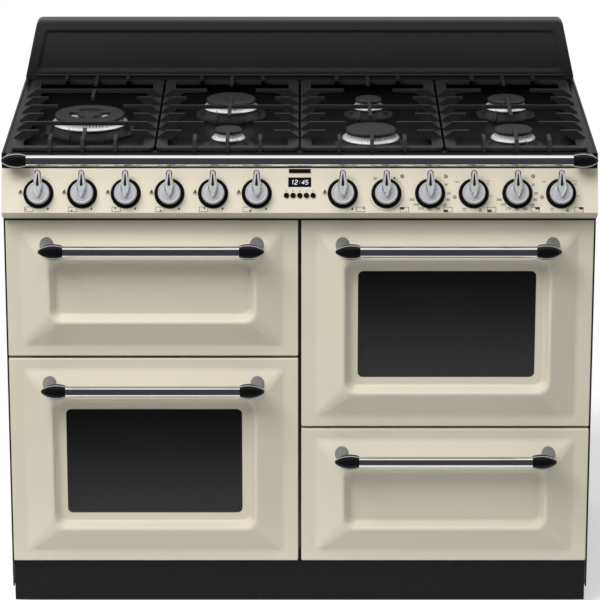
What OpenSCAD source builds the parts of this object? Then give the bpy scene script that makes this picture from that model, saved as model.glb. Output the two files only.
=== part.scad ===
// Freestanding gas range cooker: two ovens, a grill, a storage drawer and a seven-burner hob.
// Millimetres, +Z up, front towards -Y, origin on the floor under the middle of the cooker.

/* [Body] */
// Width over the side panels
body_w = 1100; // [1080:5:1150]
// Depth from the door face to the back panel
body_d = 600; // [590:5:640]
// Height of the hob rim above the floor
hob_h = 900; // [890:5:930]
// Thickness of each side panel
side_t = 2.5; // [1.5:0.5:3.5]
// Thickness of the back panel, frame plates and oven walls
sheet_t = 2; // [1:0.5:3]
// Radius of a foot's pad
foot_r = 21; // [16:1:26]
// Radius of a foot's spindle
foot_spindle_r = 6; // [4:0.5:8]
// Height of the base frame's underside above the floor
base_z = 52; // [45:1:58]
// Distance of the feet from the sides, the front and the back
foot_inset = 60; // [45:5:90]

/* [Doors] */
// Height of the doors' lower edge above the floor
door_z = 95; // [85:1:105]
// Height of the grill door and of the drawer front
small_door_h = 267; // [250:1:285]
// Gap between doors one above the other, and to the plinth and panel
door_gap = 5; // [4.5:0.5:7]
// Gap between the left and right doors
centre_gap = 6; // [4:1:10]
// Gap between a door and the side panel
side_gap = 1; // [0.6:0.2:3]
// Thickness of a door, from its flat margin to its back
door_t = 45; // [42:1:50]
// Sheet thickness of a door's outer skin
skin_t = 2; // [1.2:0.2:2.6]
// Depth of the skin's folded edge
skin_d = 22; // [18:1:26]
// Width of the flat margin beside the raised pressing
bevel_side = 28; // [20:1:32]
// Height of the flat margin above and below the raised pressing
bevel_edge = 21.5; // [18:0.5:26]
// Width of the sloping band of the pressing
bevel_band = 50; // [40:1:52]
// Height of the raised pressing above the margin
bevel_raise = 24; // [14:1:28]
// Width of the ridge between the slope and the recess
ridge_w = 3.5; // [2:0.5:6]
// Depth of the recess inside the pressing
recess_d = 20; // [10:1:20]
// Width of the recess's sloping wall
recess_wall = 14; // [8:1:18]
// Width of recess floor around a window
window_frame = 10; // [6:1:14]
// Thickness of a window pane
glass_t = 4; // [3:0.5:5]
// Radius of a hinge pin
hinge_pin_r = 2.5; // [2:0.25:3]
// Distance of the hinge pin from the door's face
hinge_in = 9; // [8:0.5:10]
// Height of the hinge pin above the door's lower edge
hinge_up = 8; // [7.5:0.5:9]

/* [Handles and rail] */
// Radius of a handle's bar and of the front rail
bar_r = 10.5; // [8:0.5:11.5]
// Length of a handle's bar between its end caps
handle_bar_len = 326; // [280:2:340]
// Distance of a handle's middle line from the door's margin
handle_out = 52; // [46:1:60]
// Distance of a handle's middle line below the door's upper edge
handle_drop = 48; // [44:1:56]
// Greatest radius of an end cap
cap_r = 13.5; // [12:0.5:15]
// Length of an end cap
cap_len = 46; // [36:1:50]
// Radius of a handle's stand-off where it meets the door
stem_r = 13.5; // [9:0.5:14]
// Distance of the front rail's middle line from the hob's edge
rail_out = 24; // [22:1:36]
// Distance of the front rail's middle line below the hob's rim
rail_drop = 7; // [0:1:8]

/* [Control panel] */
// Height of the hob's front edge
hob_edge_h = 28; // [26:1:34]
// Height of the control panel
panel_h = 93; // [90:1:98]
// Angle at which the panel leans back
panel_tilt = 21.6; // [16:0.2:24]
// Height of the panel's lip under the sloping face
lip_h = 17; // [14:1:20]
// Distance of the panel's upper edge in front of the doors
panel_top_out = 4; // [2:0.5:8]
// Distance of the lip's lower edge in front of the doors
lip_out = 11; // [6:1:14]
// Sheet thickness of the panel
panel_t = 2; // [1.5:0.5:3]
// Distance of the outermost knobs from the sides
knob_side = 68.2; // [60:0.1:80]
// Distance from the middle to the first knob on each side
knob_first = 79.3; // [70:0.1:84]
// Height of the knob line along the sloping face
knob_line = 36; // [32:0.5:38]
// Radius of a knob's disc
knob_r = 21; // [18:0.5:23]
// Distance of a knob's disc from the panel
knob_out = 20; // [16:0.5:22]
// Radius of the dark ring under a knob
bezel_r = 27.4; // [24:0.2:30]
// Thickness of the dark ring under a knob
bezel_t = 4; // [2:0.5:5]
// Length of a knob's lever above the knob's centre
lever_len = 41; // [34:0.5:43]
// Greatest width of a knob's lever
lever_w = 17.4; // [13:0.2:20]
// Height of the lever above the disc
lever_out = 8; // [5:0.5:9]
// Radius of a tap's or switch's spindle
spindle_r = 4; // [3:0.25:5]
// Width of the clock's display
display_w = 42; // [36:1:50]
// Height of the clock's display
display_h = 17.4; // [14:0.2:19]
// Radius of a push button
button_r = 4.75; // [3.5:0.25:5.25]
// Distance between neighbouring push buttons
button_pitch = 12.3; // [11.6:0.1:14]
// Radius of an indicator lamp
lamp_r = 2.6; // [2:0.1:3.5]

/* [Hob] */
// Depth of the hob's well below its rim
well_d = 23; // [18:1:25]
// Width of the rim around the well
rim_w = 20; // [16:1:24]
// Sheet thickness of the hob
hob_t = 2.5; // [1.5:0.5:3]
// Height of the splashback above the rim
splash_h = 124; // [90:2:150]
// Thickness of the splashback
splash_t = 35; // [25:1:40]
// Distance by which the splashback's upper corners are drawn in
splash_in = 27.5; // [10:0.5:40]
// Radius of the wok burner's cap
wok_r = 67; // [58:1:70]
// Radius of a large burner's cap
large_r = 48.5; // [42:0.5:52]
// Radius of a medium burner's cap
medium_r = 36.5; // [32:0.5:40]
// Radius of a small burner's cap
small_r = 26.5; // [24:0.5:30]
// Width by which a flame ring reaches past its cap
ring_out = 5.5; // [3:0.5:7]
// Distance of the wok burner in front of the hob's middle
wok_forward = 30; // [20:1:40]
// Distance of the front burners from the middle of the pan supports
burner_forward = 147; // [140:1:152]
// Distance of the rear burners from the middle of the pan supports
burner_back = 90; // [84:1:110]
// Thickness of a burner's cap
burner_cap_t = 7; // [5:0.5:8]

/* [Pan supports] */
// Height of the pan supports' upper face above the rim
support_h = 22; // [21:1:30]
// Distance of the outer pan supports from the sides
support_margin = 17; // [14:1:24]
// Gap between neighbouring pan supports
support_gap = 4.5; // [2:0.5:8]
// Distance of the pan supports from the hob's front edge
support_front = 13; // [11:1:18]
// Distance of the pan supports from the splashback
support_back = 17; // [12:1:24]
// Width of a pan support's flat band
band_w = 20; // [14:1:24]
// Thickness of a pan support's flat band
band_t = 5; // [3:0.5:6]
// Width of a pan support's finger
finger_w = 6.5; // [5:0.5:8]
// Distance between neighbouring rows of fingers
row_pitch = 64; // [58:1:66]
// Length of a short finger
short_finger = 46; // [40:1:56]
// Length of a long finger over two small burners
long_finger = 84; // [70:1:90]
// Radius of a pan support's leg
leg_r = 5; // [4:0.5:6.5]

/* [Ovens and drawer] */
// Width of the inside of an oven
oven_w = 440; // [400:5:460]
// Depth of the inside of an oven
oven_d = 410; // [380:5:420]
// Distance from a door's edge to the oven's inside, above and below
oven_margin = 38; // [34:1:46]
// Radius of a shelf's frame wire
shelf_wire_r = 3; // [2.5:0.25:4]
// Radius of a fan
fan_r = 58; // [50:1:64]
// Width of the drawer's box
drawer_w = 450; // [400:5:470]
// Depth of the drawer's box behind its front
drawer_d = 430; // [380:5:440]
// Height of the drawer's box
drawer_h = 170; // [140:2:180]

/* [Gas] */
// Radius of the gas inlet's thread
inlet_r = 10.5; // [8:0.5:12]
// Radius of the gas manifold
manifold_r = 8; // [6:0.5:9]
// Radius of a feed pipe
feed_r = 3; // [2:0.5:4]

/* [Hidden] */
$fn = 64;

cream = [0.80, 0.77, 0.70];
black = [0.10, 0.10, 0.10];
iron = [0.22, 0.22, 0.22];
bright = [0.85, 0.85, 0.87];
grey_steel = [0.62, 0.62, 0.63];
enamel_grey = [0.30, 0.30, 0.32];

// clearances
fit = 0.3;          // between pieces that do not touch
shaft_fit = 0.05;   // around a shaft that turns in its bore
face_fit = 0.2;     // between nested sheets

// the depth axis: the handles reach furthest forward, the back panel furthest back
overall_d = body_d + handle_out + cap_r;
face_y = -overall_d / 2 + handle_out + cap_r;
back_y = overall_d / 2;
seal_gap = 3;
frame_y = face_y + door_t + seal_gap;
hob_d = body_d - splash_t;

// the width axis
inner_w = body_w - 2 * side_t;
door_w = (inner_w - 2 * side_gap - centre_gap) / 2;
column_x = (centre_gap + door_w) / 2;

// the height axis
edge_z = hob_h - hob_edge_h;
panel_z = edge_z - panel_h;
doors_top = panel_z - door_gap;
big_door_h = doors_top - door_z - door_gap - small_door_h;
upper_left_z = door_z + big_door_h + door_gap;
upper_right_z = door_z + small_door_h + door_gap;
plinth_top = door_z - door_gap;
well_z = hob_h - well_d;

// door pressing
recess_w = door_w - 2 * (bevel_side + bevel_band + ridge_w);
recess_y = recess_d - bevel_raise;
recess_r = 22;
floor_r = 12;
window_r = 10;
window_w = recess_w - 2 * (recess_wall + window_frame);
glass_lap = 8;
liner_y = 12;
liner_inset = skin_t + face_fit;
hinge_x = door_w / 2 - 45;
hinge_arm_t = 5;
hinge_eye_r = 5;
hinge_side_gap = 1;
hinge_cheek_t = 8;

// control panel: the sloping face runs from its lower edge up to the upper edge
slope_h = panel_h - lip_h;
slope_out = panel_top_out + slope_h * tan(panel_tilt);
slope_z = panel_z + lip_h;
panel_back = 21;
display_up = 20.7;
button_up = -3.7;
lamp_side = 29;
lamp_up = 32;
knob_under = bezel_t + 0.4;
knob_pitch = (body_w / 2 - knob_side - knob_first) / 5;
knob_x = [for (i = [0 : 11]) (i < 6 ? -1 : 1) * (knob_first + (i < 6 ? 5 - i : i - 6) * knob_pitch)];
gas_knobs = 7;
lamp_knobs = [7, 8, 10];
tap_d = 35;
tap_r = 14;
switch_d = 29;
switch_r = 19;
button_proud = 3;
button_travel = 1.5;
clock_y = panel_t + 1.2 + button_travel + fit;

// pan supports and burners: one column of each, the burners in the order of their knobs
support_w = (body_w - 2 * support_margin - 3 * support_gap) / 4;
support_d = hob_d - support_front - support_back;
support_mid_y = face_y + support_front + support_d / 2;
support_top = hob_h + support_h;
band_z = hob_h + 2;
function support_x(i) = (i - 1.5) * (support_w + support_gap);
rear_y = support_mid_y + burner_back;
front_y = support_mid_y - burner_forward;
wok_y = support_mid_y - wok_forward;
burners = [[support_x(0), wok_y, wok_r],
    [support_x(1), front_y, small_r], [support_x(1), rear_y, large_r],
    [support_x(2), front_y, large_r], [support_x(2), rear_y, small_r],
    [support_x(3), front_y, medium_r], [support_x(3), rear_y, medium_r]];
plate_t = 4;
skirt_z = well_z + plate_t + 12;
crown_z = skirt_z + 7;
cap_z = crown_z + 7;
rib_z = cap_z + burner_cap_t + 1;
cup_z = well_z - 31;
cup_h = 12;
function neck_r(r) = r * 0.4 + 6;

// ovens, grill and drawer
big_oven_h = big_door_h - 2 * oven_margin;
grill_h = small_door_h - 2 * oven_margin;
oven_y = frame_y + sheet_t;
ledge_w = 9;
ledge_t = 3;
shelf_levels = [0.2, 0.5];
grill_levels = [0.3];
motor_r = 34;
motor_len = 40;
fan_gap = 8;
fan_blades = 8;
drawer_floor_z = door_z + 32;
runner_w = 16;
drawer_wall = 2;

// gas line
manifold_back = tap_d + manifold_r;
supply_x = knob_x[6] + 45;
inlet_z = slope_z + knob_line * cos(panel_tilt) - manifold_back * sin(panel_tilt);
inlet_len = 25;
manifold_end = 20;
tap_y = face_y - slope_out + knob_line * sin(panel_tilt) + manifold_back * cos(panel_tilt);

module block(x0, x1, y0, y1, z0, z1) {
    translate([x0, y0, z0]) cube([x1 - x0, y1 - y0, z1 - z0]);
}

// a box that is centred on x
module wide_block(w, y0, y1, z0, z1) {
    block(-w / 2, w / 2, y0, y1, z0, z1);
}

// an outline in y and z, drawn out along x about x = 0
module along_x(length) {
    rotate([90, 0, 90]) linear_extrude(length, center = true) children();
}

// an outline in x and z, drawn out along y from y0
module along_y(y0, length) {
    translate([0, y0 + length, 0]) rotate([90, 0, 0]) linear_extrude(length) children();
}

module rod_x(r, length) {
    rotate([0, 90, 0]) cylinder(r = r, h = length, center = true);
}

// a rod along y from y0 to y1
module rod_y(r, y0, y1) {
    translate([0, y0, 0]) rotate([-90, 0, 0]) cylinder(r = r, h = y1 - y0);
}

module rounded_outline(w, h, r) {
    square([w - 2 * r, h], center = true);
    square([w, h - 2 * r], center = true);
    for (x = [-1, 1], z = [-1, 1])
        translate([x * (w / 2 - r), z * (h / 2 - r)]) circle(r = r);
}

// a leaf-shaped end: pointed at the origin, widest two thirds along, open end at x = length
module leaf_end(length, r) {
    steps = 14;
    sweep = 128;
    rotate([0, 90, 0]) rotate_extrude()
        polygon(concat([for (i = [0 : steps]) [r * sin(sweep * i / steps), length * i / steps]],
            [[0, length]]));
}

// a bar along x with two leaf-shaped ends and two stand-offs, which widen from the bar back to y = depth
stem_top_r = 6.5;
module bar_with_ends(bar_len, depth, foot_r) {
    stem_x = bar_len / 2 + cap_len * 0.7;
    rod_x(bar_r, bar_len);
    for (side = [0, 1]) mirror([side, 0, 0]) {
        translate([-bar_len / 2 - cap_len, 0, 0]) leaf_end(cap_len, cap_r);
        translate([-stem_x, 0, 0]) rotate([-90, 0, 0])
            cylinder(r1 = stem_top_r, r2 = foot_r, h = depth);
    }
}

// carcass

module side_outline() {
    front = face_y + 6;
    under_panel = panel_z - fit;
    behind_panel = face_y + panel_back + fit;
    polygon([[front, base_z - 12], [front, under_panel], [behind_panel, under_panel],
        [behind_panel, edge_z], [back_y - sheet_t, edge_z], [back_y - sheet_t, base_z - 12]]);
}

module side_panels() color(black)
    for (side = [-1, 1])
        translate([side * (body_w - side_t) / 2, 0, 0]) along_x(side_t) side_outline();

// the sheet has air slots, the gas inlet's opening, two wall screws' holes and the mains cable's gland
wall_hole_r = 3.5;
wall_hole_x = 420;
wall_hole_z = 820;
gland_x = -440;
gland_z = 180;
gland_r = 6;
module back_panel() color(grey_steel) {
    difference() {
        wide_block(body_w, back_y - sheet_t, back_y, base_z - 12, edge_z);
        translate([supply_x, 0, inlet_z]) rod_y(inlet_r * 2.4, back_y - 5, back_y + 5);
        for (x = [-1, 1])
            translate([x * wall_hole_x, 0, wall_hole_z]) rod_y(wall_hole_r, back_y - 5, back_y + 5);
        for (x = [-1, 1], row = [0 : 5])
            translate([x * column_x, 0, panel_z - 30 - row * 14])
                wide_block(180, back_y - 5, back_y + 5, -2, 2);
        translate([gland_x, 0, gland_z]) rod_y(gland_r, back_y - 5, back_y + 5);
    }
    translate([gland_x, 0, gland_z]) difference() {
        rod_y(gland_r * 2, back_y - 22, back_y - sheet_t);
        rod_y(gland_r, back_y - 25, back_y);
    }
}

foot_x = body_w / 2 - foot_inset;
foot_front_y = face_y + foot_inset;
foot_back_y = back_y - foot_inset;
base_rail_h = 26;
base_rail_w = 30;
boss_r = 15;
runner_h = drawer_floor_z - plinth_top - fit;
runner_lip_w = 4;
runner_lip_h = 12;
base_y = face_y + 14;
module base_frame() color(grey_steel) {
    difference() {
        union() {
            wide_block(inner_w, base_y, back_y - sheet_t, plinth_top - sheet_t, plinth_top);
            for (y = [base_y, back_y - sheet_t - base_rail_w])
                wide_block(inner_w, y, y + base_rail_w, base_z, plinth_top - sheet_t);
            for (side = [-1, 1])
                translate([side * (inner_w - base_rail_w) / 2, 0, 0])
                    wide_block(base_rail_w, base_y, back_y - sheet_t, base_z, plinth_top - sheet_t);
            for (x = [-foot_x, foot_x], y = [foot_front_y, foot_back_y])
                translate([x, y, base_z]) cylinder(r = boss_r, h = plinth_top - sheet_t - base_z);
        }
        for (x = [-foot_x, foot_x], y = [foot_front_y, foot_back_y])
            translate([x, y, base_z - 1]) cylinder(r = foot_spindle_r + shaft_fit, h = base_rail_h + 1);
    }
    // the drawer's runners, each with a guide lip on its outer side
    lip_x = drawer_w / 2 + fit;
    for (side = [0, 1]) translate([column_x, 0, plinth_top]) mirror([side, 0, 0]) {
        block(drawer_w / 2 - runner_w, lip_x + runner_lip_w, oven_y, oven_y + drawer_d + 20, 0, runner_h);
        block(lip_x, lip_x + runner_lip_w, oven_y, oven_y + drawer_d + 20, 0, runner_h + runner_lip_h);
    }
}

module plinth() color(black) {
    wide_block(inner_w - 2 * side_gap, base_y - sheet_t, base_y, 10, plinth_top);
    wide_block(inner_w - 2 * side_gap, base_y - sheet_t, base_y + 12, 10, 10 + sheet_t);
}

foot_pad_h = 9;
module feet() color(black)
    for (x = [-foot_x, foot_x], y = [foot_front_y, foot_back_y])
        translate([x, y, 0]) {
            cylinder(r = foot_r, h = foot_pad_h);
            cylinder(r = foot_spindle_r, h = base_z + base_rail_h - 3);
        }

// hinge arm and pin: the arm comes forward from the front plate and passes through a slot in the door
module hinge_arm() {
    pin_len = hinge_arm_t + 2 * (hinge_side_gap + hinge_cheek_t) - 1;
    along_x(hinge_arm_t) {
        translate([face_y + hinge_in, hinge_up]) circle(r = hinge_eye_r);
        translate([face_y + hinge_in, hinge_up - hinge_eye_r])
            square([frame_y - face_y - hinge_in, 2 * hinge_eye_r]);
    }
    translate([0, face_y + hinge_in, hinge_up]) rod_x(hinge_pin_r, pin_len);
}

module column_opening(x, z, w, h) {
    translate([x, 0, z]) wide_block(w, frame_y - 5, frame_y + 5, 0, h);
}

module inner_frame() color(grey_steel) {
    top_z = panel_z - 3;
    difference() {
        wide_block(inner_w, frame_y, frame_y + sheet_t, plinth_top, top_z);
        column_opening(-column_x, upper_left_z + oven_margin, oven_w, grill_h);
        column_opening(-column_x, door_z + oven_margin, oven_w, big_oven_h);
        column_opening(column_x, upper_right_z + oven_margin, oven_w, big_oven_h);
        column_opening(column_x, plinth_top - 1, drawer_w + 2 * side_gap + 14, small_door_h - 28);
    }
    // centre partition and the deck under the hob
    wide_block(sheet_t, frame_y + sheet_t, back_y - sheet_t, plinth_top, top_z);
    wide_block(inner_w, frame_y, back_y - sheet_t, top_z, top_z + sheet_t);
    // shelf between the right oven and the drawer
    block(sheet_t / 2, inner_w / 2, frame_y + sheet_t, back_y - sheet_t, upper_right_z - 20,
        upper_right_z - 20 + sheet_t);
    for (arm = [-hinge_x, hinge_x]) {
        translate([-column_x + arm, 0, door_z]) hinge_arm();
        translate([-column_x + arm, 0, upper_left_z]) hinge_arm();
        translate([column_x + arm, 0, upper_right_z]) hinge_arm();
    }
}

// hob

well_corner_r = 18;
module well_outline(grow) {
    rounded_outline(body_w - 2 * rim_w + 2 * grow, hob_d - 2 * rim_w + 2 * grow, well_corner_r + grow);
}

rim_bead_in = 2;
rim_bead_w = 3;
rim_bead_h = 1.2;
module hob_top() color(black) {
    well_mid = face_y + hob_d / 2;
    difference() {
        wide_block(body_w, face_y, back_y, edge_z, hob_h);
        translate([0, well_mid, well_z]) linear_extrude(well_d + 1) well_outline(0);
        difference() {
            wide_block(body_w - 2 * hob_t, face_y + hob_t, back_y - hob_t, edge_z - 1, hob_h - hob_t);
            translate([0, well_mid, well_z - hob_t]) linear_extrude(well_d + hob_t) well_outline(hob_t);
        }
        for (b = burners)
            translate([b[0], b[1], well_z - 10]) cylinder(r = neck_r(b[2]) + 2, h = 20);
    }
    // raised bead around the rim
    bead_y = face_y + rim_bead_in;
    translate([0, 0, hob_h])
        wide_block(body_w - 2 * rim_bead_in, bead_y, bead_y + rim_bead_w, -1, rim_bead_h);
    for (side = [-1, 1])
        translate([side * (body_w / 2 - rim_bead_in - rim_bead_w / 2), 0, hob_h])
            wide_block(rim_bead_w, bead_y, back_y - splash_t - 1, -1, rim_bead_h);
}

// the case's outline between two heights, drawn in from its sloping ends, with round upper corners
splash_corner_r = 10;
splash_lean = atan(splash_in / splash_h);
function splash_half(z) = body_w / 2 - (z - hob_h) * tan(splash_lean);
module splash_outline(low, high, side_in, corner_r) {
    reach = corner_r * tan(45 - splash_lean / 2);
    foot_w = splash_half(low) - side_in;
    top_w = splash_half(high) - side_in;
    round_x = top_w - reach;
    side_x = top_w + reach * sin(splash_lean);
    side_z = high - reach * cos(splash_lean);
    for (side = [0, 1]) mirror([side, 0]) {
        polygon([[-1, low], [foot_w, low], [side_x, side_z], [round_x, high - corner_r], [round_x, high],
            [-1, high]]);
        translate([round_x, high - corner_r]) circle(r = corner_r);
    }
}

// a pressed case: outer shell open at the back, with a raised field inside a groove, and a bead below
splash_bead_z = 12;
splash_bead_r = 2.2;
splash_field_z = 19;
splash_field_raise = 1.5;
splash_rim = 19;
splash_groove_w = 7;
splash_groove_d = 1.3;
field_in = splash_rim + splash_groove_w;
module splash_field(low, top, side_in, corner_r) {
    splash_outline(low + side_in - splash_rim, top - side_in, side_in, corner_r);
}

module splashback() color(black) {
    y0 = back_y - splash_t;
    top = hob_h + splash_h;
    low = hob_h + splash_field_z;
    difference() {
        along_y(y0, splash_t) splash_outline(hob_h, top, 0, splash_corner_r);
        along_y(y0 + hob_t, splash_t)
            splash_outline(hob_h + hob_t, top - hob_t, hob_t, splash_corner_r - hob_t);
        difference() {
            along_y(y0 - 1, splash_groove_d + 1) splash_field(low, top, splash_rim, splash_corner_r);
            along_y(y0 - 2, splash_groove_d + 3) splash_field(low, top, field_in, splash_corner_r / 2);
        }
    }
    along_y(y0 - splash_field_raise, splash_field_raise + 0.5)
        splash_field(low, top, field_in, splash_corner_r / 2);
    translate([0, y0, hob_h + splash_bead_z]) rod_x(splash_bead_r, 2 * (splash_half(low) - splash_rim));
}

module front_rail() color(bright)
    translate([0, face_y - rail_out, hob_h - rail_drop])
        bar_with_ends(body_w - 2 * (cap_len + 1), rail_out, stem_top_r);

ring_slots = 16;
plate_out = 24;
module burner_plates() color(black)
    for (b = burners) translate([b[0], b[1], well_z])
        difference() {
            union() {
                rotate([0, 0, 22.5]) cylinder(r = b[2] + plate_out, h = plate_t, $fn = 8);
                translate([0, 0, plate_t])
                    cylinder(r1 = b[2] + 10, r2 = b[2] + 1, h = skirt_z - well_z - plate_t);
            }
            translate([0, 0, -1]) cylinder(r = neck_r(b[2]) + 1, h = skirt_z - well_z + 2);
            for (corner = [0 : 7]) rotate([0, 0, 22.5 + corner * 45])
                translate([b[2] + plate_out / 2, -1.5, -1]) cube([plate_out, 3, plate_t + 2]);
        }

module flame_rings() color(bright)
    for (b = burners) translate([b[0], b[1], 0])
        difference() {
            union() {
                translate([0, 0, cup_z + cup_h])
                    cylinder(r = neck_r(b[2]), h = skirt_z - cup_z - cup_h + 1);
                translate([0, 0, skirt_z]) cylinder(r1 = b[2] + ring_out - 3, r2 = b[2] + ring_out, h = 3);
                translate([0, 0, skirt_z + 3]) cylinder(r1 = b[2] + ring_out, r2 = b[2] + 1, h = 4);
                translate([0, 0, crown_z]) cylinder(r = b[2] - 4, h = cap_z - crown_z);
            }
            for (slot = [0 : ring_slots - 1]) rotate([0, 0, slot * 360 / ring_slots])
                translate([b[2] - 9, -1, crown_z + 2]) cube([12, 2, cap_z - crown_z - 4]);
            translate([0, 0, cup_z]) cylinder(r = neck_r(b[2]) - 4, h = skirt_z - cup_z);
        }

// the wok burner's cap has three curved openings over its inner flame ring
module burner_caps() color(black)
    for (b = burners) translate([b[0], b[1], cap_z])
        difference() {
            union() {
                cylinder(r = b[2], h = burner_cap_t * 0.6);
                translate([0, 0, burner_cap_t * 0.6])
                    cylinder(r1 = b[2], r2 = b[2] - 3, h = burner_cap_t * 0.4);
            }
            if (b[2] == wok_r) for (turn = [0 : 120 : 240]) rotate([0, 0, turn + 90])
                rotate_extrude(angle = 84, start = -42)
                    translate([b[2] * 0.34, -1]) square([b[2] * 0.24, burner_cap_t + 2]);
        }

// a round rod from one point to another
module strut(from, to, r) {
    d = to - from;
    length = norm(d);
    translate(from) rotate([0, acos(d[2] / length), atan2(d[1], d[0])]) cylinder(r = r, h = length);
}

module gas_pipes() color("goldenrod") {
    left_end = knob_x[0] - manifold_end;
    // manifold behind the taps and the supply pipe to the inlet at the back
    translate([(left_end + supply_x) / 2, tap_y, inlet_z]) rod_x(manifold_r, supply_x - left_end);
    translate([supply_x, 0, inlet_z]) {
        rod_y(manifold_r, tap_y, back_y - inlet_len);
        rod_y(inlet_r, back_y - inlet_len - 1, back_y - 1);
    }
    for (i = [0 : gas_knobs - 1]) {
        b = burners[i];
        cup = [b[0], b[1], cup_z];
        translate(cup) cylinder(r = neck_r(b[2]) + 4, h = cup_h);
        strut([knob_x[i], tap_y, inlet_z], [b[0], b[1], cup_z + cup_h / 2], feed_r);
    }
}

// control panel: children are placed on its sloping face, outwards is -y and upwards along the face is +z

module on_panel(x, up) {
    translate([x, face_y - slope_out, slope_z]) rotate([-panel_tilt, 0, 0])
        translate([0, 0, up]) children();
}

module panel_profile() {
    polygon([[face_y - panel_top_out, edge_z], [face_y - slope_out, slope_z], [face_y - lip_out, panel_z],
        [face_y + panel_back, panel_z], [face_y + panel_back, edge_z]]);
}

spindle_gap = 1.5;
module control_panel() color(cream) difference() {
    along_x(body_w) panel_profile();
    along_x(body_w - 2 * panel_t) intersection() {
        translate([panel_t / cos(panel_tilt), 0]) panel_profile();
        translate([face_y - slope_out, panel_z + panel_t])
            square([slope_out + panel_back + 10, panel_h - 2 * panel_t]);
    }
    for (x = knob_x) on_panel(x, knob_line) rod_y(spindle_r + spindle_gap, -5, 10);
    for (i = lamp_knobs) on_panel(knob_x[i] + lamp_side, knob_line + lamp_up)
        rod_y(lamp_r + face_fit, -5, 10);
    on_panel(0, knob_line + display_up)
        wide_block(display_w + 2 * fit, -5, 10, -display_h / 2 - fit, display_h / 2 + fit);
    for (i = [-2 : 2]) on_panel(i * button_pitch, knob_line + button_up) rod_y(button_r + fit, -5, 10);
}

module knob_bezels() color(black)
    for (x = knob_x) on_panel(x, knob_line) difference() {
        rotate([90, 0, 0]) cylinder(r1 = bezel_r, r2 = bezel_r - 1.2, h = bezel_t);
        rod_y(spindle_r + spindle_gap, -bezel_t - 1, 1);
    }

// gas taps on the first seven knobs, electric switches on the others
module control_valves() color("goldenrod")
    for (i = [0 : 11]) on_panel(knob_x[i], knob_line) {
        rod_y(spindle_r, -knob_out + 4, panel_t + 1);
        if (i < gas_knobs) rod_y(tap_r, panel_t + 0.1, tap_d);
        else rod_y(switch_r, panel_t + 0.1, switch_d);
    }

module lever_outline() {
    top_r = lever_w * 0.33;
    tip = 10;
    bulge = 9;
    translate([0, lever_len - top_r]) circle(r = top_r);
    polygon([[0, -tip], [lever_w * 0.34, 0], [lever_w / 2, bulge], [lever_w * 0.44, bulge + 9],
        [top_r, lever_len - top_r], [-top_r, lever_len - top_r], [-lever_w * 0.44, bulge + 9],
        [-lever_w / 2, bulge], [-lever_w * 0.34, 0]]);
}

lever_slot_w = 4.8;
lever_slot_low = 0.34 * lever_len;
lever_slot_high = 0.8 * lever_len;
lever_back = 6;
module knob(i) color(bright) on_panel(knob_x[i], knob_line) difference() {
    union() {
        translate([0, -knob_under, 0]) rotate([90, 0, 0])
            cylinder(r1 = knob_r + 0.5, r2 = knob_r - 0.5, h = knob_out - knob_under);
        along_y(-knob_out - lever_out, lever_out + lever_back) lever_outline();
    }
    rod_y(spindle_r + shaft_fit, -knob_out + 3, 0);
    along_y(-knob_out - lever_out - 1, 4) {
        translate([0, lever_slot_low]) circle(r = lever_slot_w / 2);
        polygon([[-lever_slot_w / 2, lever_slot_low], [lever_slot_w / 2, lever_slot_low],
            [0, lever_slot_high]]);
    }
}
module knob_1() knob(0);
module knob_2() knob(1);
module knob_3() knob(2);
module knob_4() knob(3);
module knob_5() knob(4);
module knob_6() knob(5);
module knob_7() knob(6);
module knob_8() knob(7);
module knob_9() knob(8);
module knob_10() knob(9);
module knob_11() knob(10);
module knob_12() knob(11);

module clock_display() color(black) on_panel(0, knob_line) {
    wide_block(display_w, -0.5, clock_y + 1, display_up - display_h / 2, display_up + display_h / 2);
    wide_block(4 * button_pitch + 24, clock_y, clock_y + 20, button_up - 12,
        display_up + display_h / 2 + 3);
}

module button(i) color(black)
    on_panel((i - 2) * button_pitch, knob_line + button_up)
        rod_y(button_r, -button_proud, clock_y - button_travel - fit);
module button_1() button(0);
module button_2() button(1);
module button_3() button(2);
module button_4() button(3);
module button_5() button(4);

module indicator_lamps() color("orange")
    for (i = lamp_knobs) on_panel(knob_x[i] + lamp_side, knob_line + lamp_up) rod_y(lamp_r, -1.5, 10);

// ovens and grill: local y is measured from the front plate's back, z from the oven's floor

fan_shaft_r = 3;
module oven_shell(h, levels, has_fan) {
    difference() {
        union() {
            wide_block(oven_w + 2 * sheet_t, 0, oven_d + sheet_t, -sheet_t, h + sheet_t);
            wide_block(oven_w + 30, 0, sheet_t, -15, h + 15);
        }
        wide_block(oven_w, -1, oven_d, 0, h);
        if (has_fan) translate([0, 0, h / 2]) rod_y(fan_shaft_r + 1, oven_d - 1, oven_d + 10);
    }
    for (level = levels, side = [-1, 1])
        translate([side * (oven_w - ledge_w) / 2, 0, level * h])
            wide_block(ledge_w, 4, oven_d - 4, 0, ledge_t);
}

module fan_motor(h) {
    difference() {
        translate([0, 0, h / 2]) rod_y(motor_r, oven_d + sheet_t, oven_d + sheet_t + motor_len);
        translate([0, 0, h / 2]) rod_y(fan_shaft_r + shaft_fit, oven_d, oven_d + sheet_t + 14);
    }
}

module at_grill() translate([-column_x, oven_y, upper_left_z + oven_margin]) children();
module at_left_oven() translate([-column_x, oven_y, door_z + oven_margin]) children();
module at_right_oven() translate([column_x, oven_y, upper_right_z + oven_margin]) children();

module grill_cavity() color(enamel_grey) at_grill() oven_shell(grill_h, grill_levels, false);
module left_oven_cavity() color(enamel_grey) at_left_oven() {
    oven_shell(big_oven_h, shelf_levels, true);
    fan_motor(big_oven_h);
}
module right_oven_cavity() color(enamel_grey) at_right_oven() {
    oven_shell(big_oven_h, shelf_levels, true);
    fan_motor(big_oven_h);
}

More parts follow.
